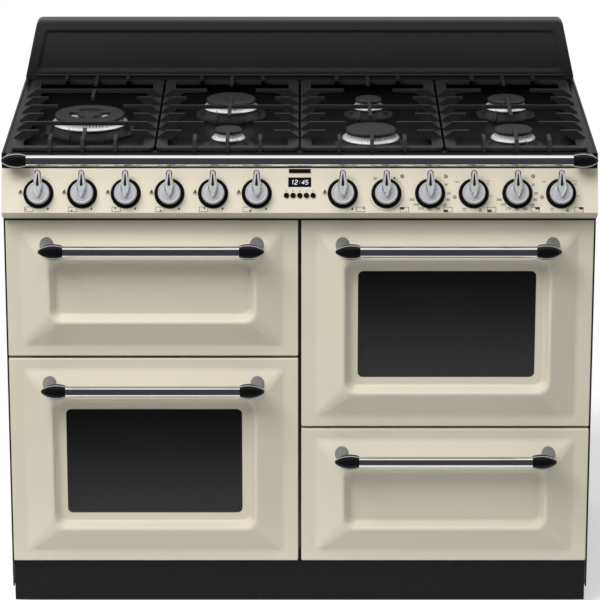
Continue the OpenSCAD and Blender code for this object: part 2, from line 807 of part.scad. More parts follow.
shelf_d = oven_d - 46;
shelf_wires = 13;
module shelf(z) translate([0, 6, z + ledge_t + shelf_wire_r + 0.05]) {
    side_x = oven_w / 2 - shelf_wire_r - 2;
    for (side = [-1, 1]) translate([side * side_x, 0, 0]) rod_y(shelf_wire_r, 0, shelf_d);
    for (y = [shelf_wire_r, shelf_d / 2, shelf_d - shelf_wire_r])
        translate([0, y, 0]) rod_x(shelf_wire_r - 0.5, 2 * side_x);
    for (i = [1 : shelf_wires])
        translate([-side_x + i * 2 * side_x / (shelf_wires + 1), 0, 1]) rod_y(1.5, 1, shelf_d - 1);
}

module oven_shelves() color(bright) {
    for (level = shelf_levels) {
        at_left_oven() shelf(level * big_oven_h);
        at_right_oven() shelf(level * big_oven_h);
    }
    at_grill() shelf(grill_levels[0] * grill_h);
}

element_r = 3.3;
element_runs = 6;
ring_element_r = fan_r + 14;
module grill_element(h) {
    run_pitch = 56;
    z = h - 20;
    first = -(element_runs - 1) * run_pitch / 2;
    front = 60;
    back = oven_d - 60;
    for (i = [0 : element_runs - 1]) {
        last = i == 0 || i == element_runs - 1;
        translate([first + i * run_pitch, 0, z]) rod_y(element_r, front, last ? oven_d : back);
    }
    for (i = [0 : element_runs - 2])
        translate([first + (i + 0.5) * run_pitch, i % 2 == 0 ? front : back, z])
            rod_x(element_r, run_pitch + 2 * element_r - 1);
}

module ring_element(h) translate([0, oven_d - 16, h / 2]) {
    rotate([90, 0, 0]) rotate_extrude() translate([ring_element_r, 0]) circle(r = element_r, $fn = 24);
    for (side = [-1, 1]) translate([side * ring_element_r, 0, 0]) rod_y(2.5, 0, 16);
}

module heating_elements() color(grey_steel) {
    at_grill() grill_element(grill_h);
    at_left_oven() {
        grill_element(big_oven_h);
        ring_element(big_oven_h);
    }
    at_right_oven() {
        grill_element(big_oven_h);
        ring_element(big_oven_h);
    }
}

fan_blade_d = 14;
module fan(h) translate([0, oven_d - fan_gap, h / 2]) {
    rod_y(fan_r, -1.5, 0);
    rod_y(12, -fan_blade_d - 2, 0);
    rod_y(fan_shaft_r, -1, fan_gap + sheet_t + 12);
    for (i = [0 : fan_blades - 1]) rotate([0, i * 360 / fan_blades, 0])
        block(10, fan_r - 2, -fan_blade_d, -1, -0.8, 0.8);
}
module left_fan() color(grey_steel) at_left_oven() fan(big_oven_h);
module right_fan() color(grey_steel) at_right_oven() fan(big_oven_h);

// pan supports: local x is measured from the left edge of the flat band, y from the middle row

// a finger rises over end_slope from the band's outer edge and thins towards its free tip
rise = 10;
end_slope = 17;
end_low = band_z + band_t + 2;
tip_t = 5;
// a finger pointing to +x
module finger(length) {
    along_y(-finger_w / 2, finger_w)
        polygon([[0, band_z], [0, end_low], [end_slope, support_top], [length, support_top],
            [length, support_top - tip_t], [band_w + 2 * rise, rib_z], [band_w + rise, band_z + band_t],
            [band_w, band_z]]);
}

module fingers(y, length) {
    for (side = [0, 1]) translate([0, y, 0]) mirror([side, 0, 0])
        translate([-support_w / 2, 0, 0]) finger(length);
}

module full_bar(y) {
    half = support_w / 2;
    translate([0, y, 0]) along_y(-finger_w / 2, finger_w)
        polygon([[-half, band_z], [-half, end_low], [end_slope - half, support_top],
            [half - end_slope, support_top], [half, end_low], [half, band_z], [half - band_w, band_z],
            [half - band_w - rise, rib_z], [band_w + rise - half, rib_z], [band_w - half, band_z]]);
}

// a rib along y that starts at a foot on the rim, 5 mm in front of the band
rib_overhang = 5;
module end_rib(x, length) {
    edge = -support_d / 2;
    translate([x, 0, 0]) along_x(finger_w)
        polygon([[edge - rib_overhang, hob_h + fit], [edge - rib_overhang, end_low],
            [edge - rib_overhang + 10, support_top], [edge + length, support_top],
            [edge + length, support_top - tip_t], [edge + band_w + 2 * rise, rib_z],
            [edge + band_w, band_z], [edge - 0.5, band_z], [edge - 0.5, hob_h + fit]]);
}

rib_x = support_w * 0.23;
leg_y = support_d / 2 - 38;
module pan_support(i, full_rows, long_rows, long_length) color(iron)
    translate([support_x(i), support_mid_y, 0]) {
        translate([0, 0, band_z]) linear_extrude(band_t) difference() {
            rounded_outline(support_w, support_d, 12);
            rounded_outline(support_w - 2 * band_w, support_d - 2 * band_w, 6);
        }
        for (row = [-3 : 2]) {
            if (len(search(row, full_rows)) > 0) full_bar(row * row_pitch);
            else fingers(row * row_pitch, len(search(row, long_rows)) > 0 ? long_length : short_finger);
        }
        for (x = [-rib_x, rib_x]) {
            end_rib(x, short_finger);
            mirror([0, 1, 0]) end_rib(x, short_finger + 8);
        }
        end_rib(0, long_finger + 8);
        mirror([0, 1, 0]) end_rib(0, long_finger + 14);
        for (x = [-1, 1], y = [-leg_y, leg_y])
            translate([x * (support_w - band_w) / 2, y, well_z + fit])
                cylinder(r = leg_r, h = band_z - well_z);
    }

// a short rib over a burner, carried by a full bar
module cross_rib(i, y0, y1) color(iron)
    translate([support_x(i), support_mid_y, 0])
        translate([-finger_w / 2, y0, rib_z]) cube([finger_w, y1 - y0, support_top - rib_z]);

cross_half = 80;
module pan_support_1() {
    pan_support(0, [-2, 2], [0], long_finger - 15);
    cross_rib(0, row_pitch - 2, 2 * row_pitch);
}
module double_support(i) {
    pan_support(i, [0], [-2, 2], long_finger);
    cross_rib(i, -cross_half, cross_half);
}
module pan_support_2() double_support(1);
module pan_support_3() double_support(2);
module pan_support_4() double_support(3);

// doors: local x is centred on the door, y is 0 on its flat margin, z is 0 at its lower edge

module door_bulge(w, h) {
    side = w / 2 - bevel_side;
    intersection() {
        along_x(w) polygon([[0, bevel_edge], [-bevel_raise, bevel_edge + bevel_band],
            [-bevel_raise, h - bevel_edge - bevel_band], [0, h - bevel_edge]]);
        linear_extrude(h) polygon([[-side, 0], [bevel_band - side, -bevel_raise],
            [side - bevel_band, -bevel_raise], [side, 0]]);
    }
}

function recess_h(h) = h - 2 * (bevel_edge + bevel_band + ridge_w);

// the recess inside the pressing; grow gives the back of the sheet
module recess_plate(w, h, r, y) {
    for (x = [-1, 1], z = [-1, 1])
        translate([x * (w / 2 - r), y, z * (h / 2 - r)]) rotate([90, 0, 0])
            cylinder(r = r, h = 0.5, $fn = 32);
}
module recess_shape(h, grow) {
    w = recess_w + 2 * grow;
    high = recess_h(h) + 2 * grow;
    translate([0, 0, h / 2]) hull() {
        recess_plate(w, high, recess_r, -bevel_raise);
        recess_plate(w - 2 * recess_wall, high - 2 * recess_wall, floor_r, recess_y + grow);
    }
}

module window_cut(h, grow) {
    window_h = recess_h(h) - 2 * (recess_wall + window_frame);
    translate([0, 0, h / 2]) along_y(-bevel_raise, bevel_raise + door_t + 5)
        rounded_outline(window_w + 2 * grow, window_h + 2 * grow, window_r);
}

module hinge_slots() {
    for (x = [-hinge_x, hinge_x]) translate([x, 0, 0])
        wide_block(hinge_arm_t + 2 * hinge_side_gap, skin_t, door_t + 5, -1, hinge_up + hinge_eye_r + 1.5);
}

module door_outside(h) {
    wide_block(door_w, 0, skin_d, 0, h);
    door_bulge(door_w, h);
}

module door_skin(h, has_window, hinged) color(cream) difference() {
    door_outside(h);
    difference() {
        translate([0, skin_t, skin_t]) {
            wide_block(door_w - 2 * skin_t, 0, skin_d, 0, h - 2 * skin_t);
            door_bulge(door_w - 2 * skin_t, h - 2 * skin_t);
        }
        recess_shape(h, skin_t);
    }
    recess_shape(h, 0);
    if (has_window) window_cut(h, 0);
    if (hinged) hinge_slots();
}

module liner_tray(h) {
    w = door_w - 2 * liner_inset;
    inside = liner_inset + sheet_t;
    difference() {
        wide_block(w, liner_y, door_t, liner_inset, h - liner_inset);
        wide_block(w - 2 * sheet_t, liner_y - 1, door_t - sheet_t, inside, h - inside);
    }
}

module door_liner(h, has_window) color(enamel_grey) difference() {
    union() {
        liner_tray(h);
        for (x = [-hinge_x, hinge_x], side = [-1, 1])
            translate([x + side * (hinge_arm_t + 2 * hinge_side_gap + hinge_cheek_t) / 2, 0, 0])
                wide_block(hinge_cheek_t, skin_t + 0.5, liner_y + 12, liner_inset,
                    hinge_up + hinge_eye_r + 4);
    }
    hinge_slots();
    for (x = [-hinge_x, hinge_x]) translate([x, hinge_in, hinge_up])
        rod_x(hinge_pin_r + shaft_fit, 2 * hinge_cheek_t + hinge_arm_t + 6);
    if (has_window) window_cut(h, 0);
}

// the outer pane behind the skin and the inner pane in front of the liner
module door_glass(h) color([0.1, 0.1, 0.12]) {
    w = window_w + 2 * glass_lap;
    high = recess_h(h) - 2 * (recess_wall + window_frame - glass_lap);
    for (y = [recess_y + skin_t, door_t - sheet_t - glass_t])
        translate([0, 0, h / 2]) along_y(y, glass_t) rounded_outline(w, high, window_r);
}

module door_handle(h) color(bright) difference() {
    translate([0, -handle_out, h - handle_drop])
        bar_with_ends(handle_bar_len, handle_out + 1, stem_r);
    door_outside(h);
}

module at_grill_door() translate([-column_x, face_y, upper_left_z]) children();
module at_left_oven_door() translate([-column_x, face_y, door_z]) children();
module at_right_oven_door() translate([column_x, face_y, upper_right_z]) children();
module at_drawer() translate([column_x, face_y, door_z]) children();

module grill_door_skin() at_grill_door() door_skin(small_door_h, false, true);
module grill_door_liner() at_grill_door() door_liner(small_door_h, false);
module grill_door_handle() at_grill_door() door_handle(small_door_h);
module left_oven_door_skin() at_left_oven_door() door_skin(big_door_h, true, true);
module left_oven_door_liner() at_left_oven_door() door_liner(big_door_h, true);
module left_oven_door_glass() at_left_oven_door() door_glass(big_door_h);
module left_oven_door_handle() at_left_oven_door() door_handle(big_door_h);
module right_oven_door_skin() at_right_oven_door() door_skin(big_door_h, true, true);
module right_oven_door_liner() at_right_oven_door() door_liner(big_door_h, true);
module right_oven_door_glass() at_right_oven_door() door_glass(big_door_h);
module right_oven_door_handle() at_right_oven_door() door_handle(big_door_h);
module drawer_front() at_drawer() door_skin(small_door_h, false, false);
module drawer_handle() at_drawer() door_handle(small_door_h);

module drawer_box() color(grey_steel) at_drawer() {
    floor_z = drawer_floor_z - door_z;
    liner_tray(small_door_h);
    difference() {
        wide_block(drawer_w, door_t - 1, door_t + drawer_d, floor_z, floor_z + drawer_h);
        wide_block(drawer_w - 2 * drawer_wall, door_t, door_t + drawer_d - drawer_wall,
            floor_z + drawer_wall, floor_z + drawer_h + 1);
    }
}

side_panels();
back_panel();
base_frame();
plinth();
feet();
inner_frame();
hob_top();
splashback();
front_rail();
burner_plates();
flame_rings();
burner_caps();
gas_pipes();
control_valves();
control_panel();
knob_bezels();
clock_display();
indicator_lamps();
grill_cavity();
left_oven_cavity();
right_oven_cavity();
oven_shelves();
heating_elements();
left_fan();
right_fan();
pan_support_1();
pan_support_2();
pan_support_3();
pan_support_4();
knob_1();
knob_2();
knob_3();
knob_4();
knob_5();
knob_6();
knob_7();
knob_8();
knob_9();
knob_10();
knob_11();
knob_12();
button_1();
button_2();
button_3();
button_4();
button_5();
grill_door_skin();
grill_door_liner();
grill_door_handle();
left_oven_door_skin();
left_oven_door_liner();
left_oven_door_glass();
left_oven_door_handle();
right_oven_door_skin();
right_oven_door_liner();
right_oven_door_glass();
right_oven_door_handle();
drawer_front();
drawer_box();
drawer_handle();
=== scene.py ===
"""Looks of a freestanding gas range cooker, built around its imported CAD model."""

import math

import bmesh
import bpy
from bpy.props import FloatProperty, FloatVectorProperty, PointerProperty
from mathutils import Matrix, Vector


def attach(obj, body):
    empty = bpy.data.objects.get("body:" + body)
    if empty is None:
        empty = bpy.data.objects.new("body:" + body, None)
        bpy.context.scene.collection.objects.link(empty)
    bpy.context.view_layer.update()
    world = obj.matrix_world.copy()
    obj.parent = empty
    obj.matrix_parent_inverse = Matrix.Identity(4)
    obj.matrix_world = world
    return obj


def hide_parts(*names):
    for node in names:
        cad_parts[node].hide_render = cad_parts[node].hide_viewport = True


bl_info = {
    "name": "Gas cooker looks",
    "version": (1, 0, 0),
    "blender": (4, 5, 0),
    "location": "3D View > Sidebar > Cooker",
    "description": "Enamel, cast iron, chrome and markings of a gas range cooker",
    "category": "Object",
}

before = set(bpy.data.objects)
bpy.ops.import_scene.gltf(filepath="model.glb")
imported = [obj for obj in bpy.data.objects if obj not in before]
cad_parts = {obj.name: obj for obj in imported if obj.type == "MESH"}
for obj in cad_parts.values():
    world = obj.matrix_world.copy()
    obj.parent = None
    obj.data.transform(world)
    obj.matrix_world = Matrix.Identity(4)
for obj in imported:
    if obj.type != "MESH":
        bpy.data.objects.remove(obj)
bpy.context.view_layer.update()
MM = 0.001

# where the CAD model has its main pieces, in millimetres
DOOR_W = 543.5
SMALL_DOOR_H = 267
BIG_DOOR_H = 407
FACE_Y = -267.25
BACK_Y = 332.75
HOB_Z = 900
HALF_W = 550
DOORS = {
    "grill_door": (-274.75, 507, SMALL_DOOR_H),
    "left_oven_door": (-274.75, 95, BIG_DOOR_H),
    "right_oven_door": (274.75, 367, BIG_DOOR_H),
    "drawer": (274.75, 95, SMALL_DOOR_H),
}
WINDOWS = ("left_oven_door", "right_oven_door")
PANEL_TILT = math.radians(21.6)
PANEL_FOOT = Vector((0, -301.34, 796))
PANEL_LOW = 779
SHADOW_STRIP_Y = -273.8
# y of the black strip under the panel's foot, a painted shadow in the gap above the doors
KNOB_LINE = 36
KNOB_FIRST = 79.3
KNOB_PITCH = 80.5
KNOB_X = [KNOB_FIRST + KNOB_PITCH * step for step in range(6)]
KNOB_X = [-x for x in reversed(KNOB_X)] + KNOB_X
BURNERS = (
    (-401.44, -16.75, 67),
    (-133.81, -133.75, 26.5),
    (-133.81, 103.25, 48.5),
    (133.81, -133.75, 48.5),
    (133.81, 103.25, 26.5),
    (401.44, -133.75, 36.5),
    (401.44, 103.25, 36.5),
)


def rgb(red, green, blue):
    """A colour given as it looks on a screen, 0 to 255, as linear red, green, blue and full alpha."""
    shares = [c / 255 for c in (red, green, blue)]
    return (*(c / 12.92 if c < 0.041 else ((c + 0.055) / 1.055) ** 2.4 for c in shares), 1.0)


class CookerColours(bpy.types.PropertyGroup):
    """Colours that a user would change."""

    cream: FloatVectorProperty(
        name="Cream", description="Enamel of the doors and the control panel", subtype="COLOR", size=4,
        min=0, max=1, default=rgb(214, 208, 188))
    black: FloatVectorProperty(
        name="Black", description="Enamel of the hob and the splashback", subtype="COLOR", size=4,
        min=0, max=1, default=rgb(15, 15, 15))
    iron: FloatVectorProperty(
        name="Iron", description="Matte enamel of the pan supports", subtype="COLOR", size=4,
        min=0, max=1, default=rgb(33, 33, 33))
    oven: FloatVectorProperty(
        name="Oven grey", description="Speckled enamel inside the ovens", subtype="COLOR", size=4,
        min=0, max=1, default=rgb(66, 67, 70))
    ink: FloatVectorProperty(
        name="Ink", description="Printed markings around the knobs", subtype="COLOR", size=4,
        min=0, max=1, default=rgb(58, 52, 44))
    lamp: FloatVectorProperty(
        name="Lamp", description="Lenses of the indicator lamps", subtype="COLOR", size=4,
        min=0, max=1, default=rgb(170, 90, 56))


class CookerSizes(bpy.types.PropertyGroup):
    """Sizes that a user would change."""

    sheet: FloatProperty(
        name="Sheet", description="Thickness of a door's pressed sheet", unit="LENGTH", default=0.0018)
    crease: FloatProperty(
        name="Crease", description="Radius of the soft creases in a pressed door", unit="LENGTH",
        default=0.022)
    crest: FloatProperty(
        name="Crest", description="Radius of the crest around a door's recess", unit="LENGTH", default=0.0065)
    pressed_edge: FloatProperty(
        name="Pressed edge", description="Rounding of the hob's and panel's folded edges", unit="LENGTH",
        default=0.0018)
    lever_edge: FloatProperty(
        name="Lever edge", description="Width of the bevel round a knob's lever", unit="LENGTH",
        default=0.0022)
    # painted highlight: radius of the bright lines along the handles' black caps
    trim: FloatProperty(
        name="Trim", description="Radius of the bright line on a handle's end", unit="LENGTH",
        default=0.0009)


class Amount:
    """A number or colour that changes over a surface, so that shader maths reads as plain sums."""

    def __init__(self, sheet, socket):
        self.sheet, self.socket = sheet, socket

    def maths(self, operation, *terms):
        return self.sheet.node("ShaderNodeMath", {"operation": operation}, dict(enumerate(terms)))

    def __add__(self, other):
        return self.maths("ADD", self, other)

    __radd__ = __add__

    def __rsub__(self, other):
        return self.maths("SUBTRACT", other, self)

    def __mul__(self, other):
        return self.maths("MULTIPLY", self, other)

    __rmul__ = __mul__

    def __truediv__(self, other):
        return self.maths("DIVIDE", self, other)

    def __pow__(self, other):
        return self.maths("POWER", self, other)

    def above(self, edge, width):
        """0 below the edge, 1 above it, and a soft change of that width between."""
        return self.sheet.node(
            "ShaderNodeMapRange", {"interpolation_type": "SMOOTHSTEP"},
            {"Value": self, "From Min": edge - width / 2, "From Max": edge + width / 2})


class Sheet:
    """A node tree, with the one way in which nodes are added to it."""

    def __init__(self, tree):
        self.tree = tree
        tree.nodes.clear()

    def node(self, kind, settings=None, inputs=None, output=0):
        made = self.tree.nodes.new(kind)
        for key, value in (settings or {}).items():
            setattr(made, key, value)
        for key, value in (inputs or {}).items():
            if isinstance(value, Amount):
                self.tree.links.new(value.socket, made.inputs[key])
            else:
                made.inputs[key].default_value = value
        return Amount(self, made.outputs[output]) if made.outputs else None

    def mix(self, factor, first, second):
        """The first colour where the factor is 0 and the second where it is 1."""
        return self.node("ShaderNodeMix", {"data_type": "RGBA"}, {0: factor, 6: first, 7: second}, 2)

    def place(self):
        """Object coordinates in metres."""
        return self.node("ShaderNodeTexCoord", output="Object")

    def axes(self, where):
        """The x, y and z of a place."""
        apart = self.node("ShaderNodeSeparateXYZ", {}, {0: where}).socket.node
        return [Amount(self, apart.outputs[axis]) for axis in "XYZ"]

    def noise(self, scale, detail=2.0, rough=0.5, stretch=None):
        """Noise from 0 to 1; scale is in features per metre, and stretch multiplies it along each axis."""
        where = self.place()
        if stretch:
            where = self.node("ShaderNodeVectorMath", {"operation": "MULTIPLY"}, {0: where, 1: stretch})
        return self.node(
            "ShaderNodeTexNoise", {}, {"Vector": where, "Scale": scale, "Detail": detail, "Roughness": rough})

    def specks(self, scale, size):
        """1 in small round specks and 0 between them."""
        cells = self.node("ShaderNodeTexVoronoi", {}, {"Vector": self.place(), "Scale": scale}, "Distance")
        return 1 - cells.above(size, size * 0.5)

    def bump(self, height, strength, distance):
        return self.node(
            "ShaderNodeBump", {}, {"Height": height, "Strength": strength, "Distance": distance}, "Normal")

    def surface(self, **inputs):
        """The Principled shader as the tree's output; names are written with underscores."""
        shader = self.node(
            "ShaderNodeBsdfPrincipled", {}, {name.replace("_", " "): value for name, value in inputs.items()})
        self.node("ShaderNodeOutputMaterial", {}, {"Surface": shader})


def colours():
    return bpy.context.scene.cooker_colours


def sizes():
    return bpy.context.scene.cooker_sizes


def darker(colour, share):
    return (*(c * share for c in tuple(colour)[:3]), 1.0)


def clouded(s, cloud, first, second, least, span, metallic=0.0, bump=0.0):
    """Two shades mixed by one noise, which also changes the roughness and, with bump, the surface."""
    raised = {"Normal": s.bump(cloud, bump, 0.0003)} if bump else {}
    s.surface(
        Base_Color=s.mix(cloud, first, second), Metallic=metallic, Roughness=least + span * cloud, **raised)


def cream_enamel(s):
    """Gloss enamel with a faint orange-peel surface and barely visible clouds in the colour."""
    cream = tuple(colours().cream)
    clouds = s.noise(9, 3)
    peel = s.noise(420, 1)
    s.surface(
        Base_Color=s.mix(clouds, darker(cream, 0.965), cream), Roughness=0.30 + 0.08 * s.noise(60, 2),
        Coat_Weight=0.35, Coat_Roughness=0.12, Normal=s.bump(peel, 0.03, 0.0004))


def black_enamel(s):
    """Gloss black with fine specks."""
    black = tuple(colours().black)
    specks = s.specks(900, 0.18)
    s.surface(
        Base_Color=s.mix(specks * 0.5, black, rgb(26, 26, 27)), Roughness=0.24 + 0.10 * s.noise(40, 3),
        Specular_IOR_Level=0.2, Normal=s.bump(s.noise(300, 1), 0.03, 0.0004))


def splash_enamel(s):
    """The same black on the splashback, painted a little darker towards its foot as painted shade under the
    light from above.
    """
    _, _, height = s.axes(s.place())
    # painted shade: the enamel's colour goes from darker at the foot to paler near the top
    painted_shading = height.above(HOB_Z * MM + 0.062, 0.13)
    s.surface(
        Base_Color=s.mix(painted_shading, rgb(32, 32, 32), rgb(50, 50, 50)), Roughness=0.20 + 0.08 * s.noise(40, 3),
        Specular_IOR_Level=0.4, Normal=s.bump(s.noise(300, 1), 0.03, 0.0004))


def satin_black(s):
    """Powder coat with a fine grain."""
    clouded(s, s.noise(900, 2), rgb(20, 20, 20), rgb(30, 30, 31), 0.38, 0.12, bump=0.15)


def oven_enamel(s):
    """Dark grey enamel with pale specks."""
    grey = tuple(colours().oven)
    s.surface(
        Base_Color=s.mix(s.specks(420, 0.16), grey, rgb(150, 152, 156)), Coat_Weight=0.2,
        Roughness=0.28 + 0.1 * s.noise(120, 2), Normal=s.bump(s.noise(260, 1), 0.05, 0.0004))


def chrome(s):
    """Polished plating with a trace of polishing haze."""
    clouded(s, s.noise(70, 3, 0.6), rgb(232, 233, 236), rgb(242, 242, 244), 0.035, 0.015, 1.0)


def spun_metal(s):
    """Satin metal turned on a lathe: fine rings round the piece's own axis."""
    x, y, _ = s.axes(s.place())
    radius = s.node("ShaderNodeCombineXYZ", {}, {0: (x * x + y * y) ** 0.5})
    rings = s.node("ShaderNodeTexNoise", {}, {"Vector": radius, "Scale": 2600.0, "Detail": 3.0})
    s.surface(
        Base_Color=s.mix(rings, rgb(186, 187, 191), rgb(226, 227, 231)), Metallic=0.35,
        Roughness=0.38 + 0.10 * s.noise(220, 2), Normal=s.bump(rings, 0.5, 0.0004))


def satin_metal(s):
    """Cast metal, plated and left satin."""
    clouded(s, s.noise(160, 3), rgb(120, 121, 122), rgb(156, 157, 158), 0.34, 0.12, 0.6)


def brushed_metal(s):
    """Flat metal brushed along the piece's length."""
    lines = s.noise(90, 3, 0.6, (14, 1, 1))
    clouded(s, lines, rgb(186, 187, 190), rgb(222, 223, 226), 0.22, 0.12, 0.35, 0.25)


def aluminium(s):
    """Bright turned aluminium of the flame rings."""
    turned = s.noise(50, 2, 0.5, (1, 1, 60))
    clouded(s, turned, rgb(216, 217, 220), rgb(240, 240, 242), 0.26, 0.12, 0.5, 0.2)


def zinc_steel(s):
    """Galvanised sheet with its soft crystal pattern."""
    crystals = s.node("ShaderNodeTexVoronoi", {}, {"Vector": s.place(), "Scale": 70.0}, "Color")
    flakes = s.node("ShaderNodeRGBToBW", {}, {0: crystals})
    clouded(s, flakes, rgb(148, 151, 154), rgb(176, 179, 182), 0.36, 0.14, 0.9)


def brass(s):
    """Plain turned brass of the gas taps."""
    clouded(s, s.noise(120, 2), rgb(170, 138, 82), rgb(196, 164, 104), 0.26, 0.12, 1.0)


def cast_iron(s):
    """Matte enamel on cast iron: a pebbly skin that is a little paler on its high spots."""
    iron = tuple(colours().iron)
    pebbles = s.noise(520, 3, 0.6)
    s.surface(
        Base_Color=s.mix(pebbles.above(0.5, 0.5), darker(iron, 0.72), darker(iron, 1.3)),
        Roughness=0.34 + 0.16 * pebbles, Normal=s.bump(pebbles, 0.28, 0.0006))


def cap_enamel(s):
    """Silky black enamel of the burner caps and base plates."""
    clouded(s, s.noise(700, 2), rgb(26, 26, 27), rgb(38, 38, 39), 0.40, 0.12, bump=0.12)


def black_plastic(s):
    """Moulded gloss plastic."""
    flow = s.noise(35, 2)
    s.surface(
        Base_Color=s.mix(flow, rgb(8, 8, 9), rgb(15, 15, 16)), Roughness=0.30 + 0.10 * flow,
        Specular_IOR_Level=0.3, Normal=s.bump(s.noise(500, 1), 0.03, 0.0003))


def oven_glass(s):
    """Dark tinted pane, painted a little paler at its foot as a painted reflection: what is behind it shows
    only faintly.
    """
    streaks = s.noise(14, 2, 0.5, (1, 1, 0.3))
    _, _, height = s.axes(s.node("ShaderNodeTexCoord", output="Generated"))
    # painted reflection: the pane's colour is paler towards its foot than at its top
    s.surface(
        Base_Color=s.mix(height.above(0.4, 1.0), rgb(62, 62, 62), rgb(28, 28, 29)), Specular_IOR_Level=0.3,
        Roughness=0.05 + 0.03 * streaks, Alpha=0.72 + 0.05 * streaks)


def lamp_lens(s):
    """Ribbed orange plastic."""
    amber = tuple(colours().lamp)
    ribs = s.noise(1500, 1)
    s.surface(
        Base_Color=s.mix(ribs, darker(amber, 0.75), amber), Roughness=0.16 + 0.1 * ribs, Coat_Weight=0.5)


def ink(s):
    """Screen-printed ink, slightly uneven in density."""
    shade = tuple(colours().ink)
    s.surface(Base_Color=s.mix(s.noise(800, 2), shade, darker(shade, 1.25)), Roughness=0.5)


def lit_digits(s):
    """The clock's glowing segments."""
    glow = s.noise(900, 1)
    s.surface(
        Base_Color=rgb(225, 232, 236), Roughness=0.5, Emission_Strength=0.75,
        Emission_Color=s.mix(glow, rgb(205, 215, 222), rgb(240, 246, 250)))


def ceramic(s):
    """Glazed ceramic of the spark igniters."""
    glaze = s.mix(s.noise(400, 2), rgb(60, 59, 56), rgb(78, 76, 72))
    s.surface(Base_Color=glaze, Roughness=0.3, Coat_Weight=0.3)


FINISHES = (
    cream_enamel, black_enamel, splash_enamel, satin_black, oven_enamel, chrome, spun_metal, satin_metal,
    brushed_metal, aluminium, zinc_steel, brass, cast_iron, cap_enamel, black_plastic, oven_glass, lamp_lens,
    ink, lit_digits, ceramic)


def finish(name):
    """The material made by the function of that name, on the first call for it."""
    label = name + "_finish"
    found = bpy.data.materials.get(label)
    if found is None:
        found = bpy.data.materials.new(label)
        found.use_nodes = True
        {f.__name__: f for f in FINISHES}[name](Sheet(found.node_tree))
    return found


class Shape:
    """Points in millimetres and the faces between them, gathered from simple forms."""

    def __init__(self):
        self.points, self.faces = [], []

    def add(self, points, faces, place=None):
        start = len(self.points)
        self.points += [tuple(place @ Vector(p)) for p in points] if place else [tuple(p) for p in points]
        self.faces += [tuple(start + i for i in face) for face in faces]
        return self

    def loft(self, rings, front=True, back=True, closed=True, place=None):
        """Faces from ring to ring; the first and the last ring are filled if front and back say so."""
        count = len(rings[0])
        faces = []
        for k in range(len(rings) - 1):
            for i in range(count if closed else count - 1):
                j = (i + 1) % count
                faces.append((k * count + i, k * count + j, (k + 1) * count + j, (k + 1) * count + i))
        if front:
            faces.append(tuple(range(count)))
        if back:
            faces.append(tuple((len(rings) - 1) * count + i for i in range(count)))
        return self.add([p for ring in rings for p in ring], faces, place)

    def lathe(self, outline, steps=48, place=None, wave=None):
        """An outline of (radius, height) turned round z. Its open ends are filled, and
        wave(step, level) is added to the radius."""
        rings = []
        for level, (radius, height) in enumerate(outline):
            ring = []
            for step in range(steps):
                a = 2 * math.pi * step / steps
                reach = radius + (wave(step, level) if wave else 0)
                ring.append((reach * math.cos(a), reach * math.sin(a), height))
            rings.append(ring)
        is_open = outline[0] != outline[-1]
        return self.loft(rings, is_open and outline[0][0] > 0, is_open and outline[-1][0] > 0, place=place)

    def tube(self, path, radius, steps=10):
        """A round tube along a path of points."""
        path = [Vector(p) for p in path]
        rings, side = [], None
        for i, point in enumerate(path):
            ahead = (path[min(i + 1, len(path) - 1)] - path[max(i - 1, 0)]).normalized()
            side = ahead.orthogonal() if side is None else side - ahead * side.dot(ahead)
            side.normalize()
            other = ahead.cross(side)
            rings.append([
                point + (side * math.cos(a) + other * math.sin(a)) * radius
                for a in (2 * math.pi * k / steps for k in range(steps))])
        return self.loft(rings)

    def plate(self, outline, low, high, edge=0.0, place=None):
        """A flat outline in x and y between two heights, its upper rim rounded off by edge."""
        levels = [(0, low)]
        if edge:
            levels += [(edge * (1 - math.cos(a)), high - edge * (1 - math.sin(a)))
                       for a in (math.pi / 2 * k / 3 for k in range(4))]
        else:
            levels.append((0, high))
        return self.loft([[(x, y, z) for x, y in inset(outline, d)] for d, z in levels], place=place)


def inset(outline, distance):
    """The closed outline moved inwards; it runs anticlockwise."""
    if not distance:
        return outline
    moved = []
    for i, (x, y) in enumerate(outline):
        (ax, ay), (bx, by) = outline[i - 1], outline[(i + 1) % len(outline)]
        first, second = Vector((x - ax, y - ay)).normalized(), Vector((bx - x, by - y)).normalized()
        normal = Vector((-first.y - second.y, first.x + second.x)).normalized()
        reach = distance / max(0.35, normal.dot(Vector((-first.y, first.x))))
        moved.append((x + normal.x * reach, y + normal.y * reach))
    return moved


def rounded_rectangle(half_w, half_h, radius, steps=8):
    """A rectangle with round corners about the origin, anticlockwise."""
    points = []
    for quarter, (sx, sy) in enumerate(((1, 1), (-1, 1), (-1, -1), (1, -1))):
        for k in range(steps + 1):
            a = math.pi / 2 * (quarter + k / steps)
            points.append((
                sx * (half_w - radius) + radius * math.cos(a), sy * (half_h - radius) + radius * math.sin(a)))
    return points


def rounded_path(points, radii, steps=6):
    """A path of straight runs whose inner corners are rounded by the radii."""
    points = [Vector(p) for p in points]
    path = [points[0]]
    for before, corner, after, radius in zip(points, points[1:], points[2:], radii):
        back, ahead = (before - corner).normalized(), (after - corner).normalized()
        half = math.acos(max(-1, min(1, back.dot(ahead)))) / 2
        run = min(radius / math.tan(half), (before - corner).length * 0.49, (after - corner).length * 0.49)
        start, end = corner + back * run, corner + ahead * run
        for k in range(steps + 1):
            t = k / steps
            path.append(start * (1 - t) ** 2 + corner * 2 * t * (1 - t) + end * t ** 2)
    return path + [points[-1]]


def between(value, table):
    """Straight-line interpolation in a table of (position, result)."""
    for (x0, y0), (x1, y1) in zip(table, table[1:]):
        if value <= x1:
            return y0 + (y1 - y0) * max(0, value - x0) / (x1 - x0)
    return table[-1][1]


def matrix(columns, origin):
    """Local axes given as three columns, and the origin, all in millimetres."""
    made = Matrix([[*row] for row in zip(*columns)]).to_4x4()
    made.translation = Vector(origin)
    return made


